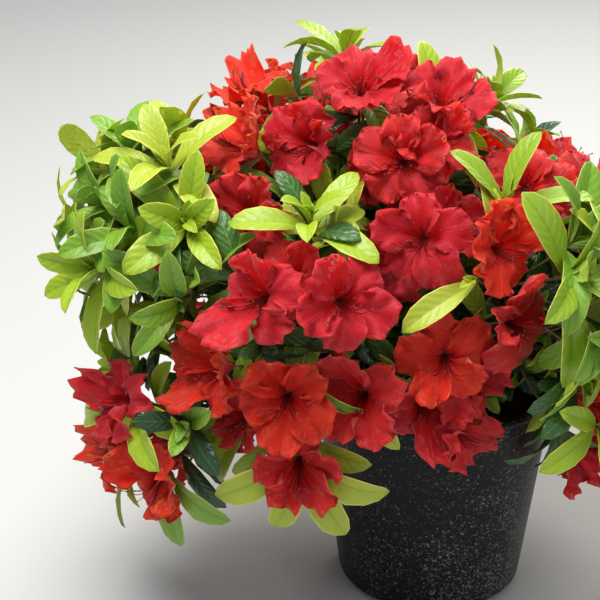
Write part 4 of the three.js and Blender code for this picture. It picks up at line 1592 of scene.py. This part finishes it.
class AzaleaSettings(bpy.types.PropertyGroup):
    """All the sizes and colours."""

    pot: PointerProperty(type=AzaleaPotSettings)
    limbs: PointerProperty(type=AzaleaLimbSettings)
    blooms: PointerProperty(type=AzaleaBloomSettings)
    leaves: PointerProperty(type=AzaleaLeafSettings)
    stage: PointerProperty(type=AzaleaStageSettings)


# What makes the pieces.
class AZALEA_OT_pot(bpy.types.Operator):
    """Makes the pot, turned from its profile, in flecked black plastic"""

    bl_idname = "azalea.make_pot"
    bl_label = "Make the pot"

    def execute(self, context):
        settings = context.scene.azalea.pot
        look = finish(
            "recycled_plastic", settings.plastic, pale_flecks(), roughness=0.5, scale=0.62, bump=0.25,
            other=settings.fleck, uneven=0.1, specular_ior_level=0.18,
        )
        shell = store("pot_shell", *lathe(pot_profile(), settings.sides), [look])
        settle(shell, ["pot"])
        return {"FINISHED"}


class AZALEA_OT_bark(bpy.types.Operator):
    """Makes the potting bark, an uneven body strewn with bits"""

    bl_idname = "azalea.make_bark"
    bl_label = "Make the potting bark"

    def execute(self, context):
        settings = context.scene.azalea.pot
        dark = finish(
            "bark_bed", linear(44, 28, 20), bark_grain(), roughness=0.95, scale=0.5, bump=1.2,
            other=linear(88, 54, 36),
        )
        bed = store("bark_bed", *lathe(bark_profile(), sides=96, ripple=unevenness), [dark])
        settle(bed, ["potting_bark"])
        looks = [
            finish(f"bark_bit_{k}", linear(*tint), bark_grain(), roughness=0.9, scale=0.4, bump=0.6)
            for k, tint in enumerate(BIT_TINTS)
        ]
        points, faces, slots = bits(settings.bit_count)
        settle(store("bark_bits", points, faces, looks, slots, smooth=False))
        return {"FINISHED"}


class AZALEA_OT_limbs(bpy.types.Operator):
    """Makes the stem and the boughs with the relief of their bark"""

    bl_idname = "azalea.make_limbs"
    bl_label = "Make the stem and boughs"

    def execute(self, context):
        settings = context.scene.azalea.limbs
        masses = crown().masses
        relief = ridged(settings.relief)
        look = finish(
            "limb_bark", settings.bark, bark_grain(), roughness=0.85, scale=1.0, bump=0.8,
            other=linear(128, 104, 84),
        )
        stem = tubes(
            [crown().trunk], lambda n, share: stem_radius(share), sides=32, rings=48, relief=relief
        )
        settle(store("stem_bark", *stem, [look]), ["stem"])
        boughs = tubes(
            [mass.bough for mass in masses], lambda n, share: bough_radius(masses[n].thick, share),
            sides=12, rings=60, relief=relief,
        )
        nodes = [f"bough_{mass.name}" for mass in masses]
        settle(store("bough_bark", *boughs, [look]), nodes)
        return {"FINISHED"}


class AZALEA_OT_leaves(bpy.types.Operator):
    """Makes the twigs and the leaves of every mass"""

    bl_idname = "azalea.make_leaves"
    bl_label = "Make the twigs and leaves"

    def execute(self, context):
        settings = context.scene.azalea
        leaves, fine = grow_leaves(settings.leaves)
        leaves = clear_of_petals(leaves, settings.blooms)
        look = finish(
            "twig_skin", settings.limbs.twig, bark_grain(), roughness=0.7, scale=1.5, bump=0.3
        )
        nodes = [f"mass_{mass.name}" for mass in crown().masses]
        settle(store("twigs", *twig_tubes(fine), [look]), nodes)
        looks = leaf_looks()
        for age, kind in enumerate(LEAF_KINDS):
            one = np.concatenate(shell_faces(len(kind.rises), len(kind.columns)))
            each = len(kind.rises) * len(kind.columns) * 2
            grown = [leaf for leaf in leaves if leaf.age == age]
            for number, batch in enumerate(in_batches(grown, kind.most)):
                piece = store(
                    f"{kind.name}_leaves_{number + 1}", leaf_points(batch, kind),
                    repeated(one, each, len(batch)), looks, leaf_slots(batch, kind),
                    places=places_on(kind.rises, kind.columns, len(batch)),
                )
                settle(piece)
        return {"FINISHED"}


class AZALEA_OT_blooms(bpy.types.Operator):
    """Makes the petals and the stamens of every bloom"""

    bl_idname = "azalea.make_blooms"
    bl_label = "Make the blooms"

    def execute(self, context):
        settings = context.scene.azalea.blooms
        blooms = all_blooms()
        looks = petal_looks()
        one = np.concatenate(shell_faces(PETAL.rows, PETAL.columns))
        each = PETAL.rows * PETAL.columns * 2
        points = petal_points(blooms, settings.ruffle, settings.thickness)
        slots = petal_slots(blooms)
        for number, batch in enumerate(in_batches(range(len(blooms)), PETAL.most)):
            petals = len(batch) * BLOOM.petals
            piece = store(
                f"petals_{number + 1}", points[batch].reshape(-1, 3), repeated(one, each, petals), looks,
                slots[batch].ravel(), places=places_on(*petal_grid(), petals),
            )
            settle(piece)
        lines = stamen_lines(blooms, settings.stamens)
        thick, thinner = STAMEN.radius
        thread = finish(
            "stamen_thread", settings.stamen, living_skin(), roughness=0.45, scale=1.0, bump=0.05
        )
        threads = tubes(lines, lambda n, share: thick - thinner * share, sides=4, rings=9)
        settle(store("stamens", *threads, [thread]))
        dust = finish(
            "anther", settings.anther, living_skin(), roughness=0.8, scale=1.0, bump=0.05
        )
        points, faces = seeds([line.point(1) for line in lines], [line.tangent(1) for line in lines])
        settle(store("anthers", points, faces, [dust], smooth=False))
        return {"FINISHED"}


# The stage, in metres. LIT is what the lights face, and a light's row is its name, its place, its size,
# its power in watts and its colour.
FLOOR = SimpleNamespace(half=12, level=-0.0002)
SKY = SimpleNamespace(colour=(0.86, 0.93, 1.0, 1), strength=0.31)
LIT = (-0.02, 0, 0.2)
LIGHTS = (
    ("key", (-0.35, -0.3, 1.6), 0.9, 30, (1, 1, 1)),
    ("fill", (1.1, -0.9, 0.9), 1.0, 3, (1, 1, 1)),
    ("back", (0.5, 1.1, 1.2), 0.7, 16, (1.0, 0.96, 0.9)),
)


def area_light(name, place, size, power, colour):
    """A square soft light of a size in metres, turned to the middle of the plant."""
    light = bpy.data.lights.new(name, "AREA")
    light.shape, light.size, light.energy, light.color = "SQUARE", size, power, colour
    made = bpy.data.objects.new(name, light)
    way = Vector(LIT) - Vector(place)
    made.matrix_world = Matrix.Translation(place) @ way.to_track_quat("-Z", "Y").to_matrix().to_4x4()
    bpy.context.scene.collection.objects.link(made)


class AZALEA_OT_stage(bpy.types.Operator):
    """Makes the floor, the lights and the camera"""

    bl_idname = "azalea.make_stage"
    bl_label = "Make the stage"

    def execute(self, context):
        settings = context.scene.azalea.stage
        square = np.array([(-1, -1), (1, -1), (1, 1), (-1, 1)]) * FLOOR.half / MM
        corners = np.c_[square, np.full(4, FLOOR.level / MM)]
        paint = finish(
            "floor_paint", settings.floor, living_skin(), roughness=0.8, scale=0.02, bump=0.02
        )
        store("floor", corners, [(0, 1, 2, 3)], [paint], smooth=False)
        world = bpy.data.worlds.new("soft_sky")
        world.use_nodes = True
        sky = world.node_tree.nodes["Background"]
        sky.inputs["Color"].default_value = SKY.colour
        sky.inputs["Strength"].default_value = SKY.strength
        context.scene.world = world
        for light in LIGHTS:
            area_light(*light)
        lens = bpy.data.cameras.new("camera")
        lens.sensor_width, lens.lens, lens.clip_start = 36, settings.lens, 0.05
        camera = bpy.data.objects.new("camera", lens)
        tilt = Matrix.Rotation(math.pi / 2 - settings.camera_pitch, 4, "X")
        camera.matrix_world = Matrix.Translation(Vector(settings.camera_place)) @ tilt
        context.scene.collection.objects.link(camera)
        context.scene.camera = camera
        context.scene.view_settings.view_transform = "Standard"
        return {"FINISHED"}


class AZALEA_PT_sidebar(bpy.types.Panel):
    """The azalea's pieces, in the order in which they are made"""

    bl_label = "Azalea"
    bl_idname = "AZALEA_PT_sidebar"
    bl_space_type = "VIEW_3D"
    bl_region_type = "UI"
    bl_category = "Azalea"

    def draw(self, context):
        for operator in OPERATORS:
            self.layout.operator(operator.bl_idname)
        settings = context.scene.azalea
        for group in (settings.pot, settings.limbs, settings.blooms, settings.leaves, settings.stage):
            box = self.layout.box()
            for name in group.__annotations__:
                box.prop(group, name)


OPERATORS = (
    AZALEA_OT_pot,
    AZALEA_OT_bark,
    AZALEA_OT_limbs,
    AZALEA_OT_leaves,
    AZALEA_OT_blooms,
    AZALEA_OT_stage,
)
CLASSES = (
    AzaleaPotSettings,
    AzaleaLimbSettings,
    AzaleaBloomSettings,
    AzaleaLeafSettings,
    AzaleaStageSettings,
    AzaleaSettings,
    *OPERATORS,
    AZALEA_PT_sidebar,
)


def register():
    for part in CLASSES:
        bpy.utils.register_class(part)
    bpy.types.Scene.azalea = PointerProperty(type=AzaleaSettings)


def unregister():
    del bpy.types.Scene.azalea
    for part in reversed(CLASSES):
        bpy.utils.unregister_class(part)


def main():
    """Registers the classes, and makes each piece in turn."""
    register()
    bpy.ops.azalea.make_pot()
    bpy.ops.azalea.make_bark()
    bpy.ops.azalea.make_limbs()
    bpy.ops.azalea.make_leaves()
    bpy.ops.azalea.make_blooms()
    bpy.ops.azalea.make_stage()
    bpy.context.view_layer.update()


if __name__ == "__main__":
    main()
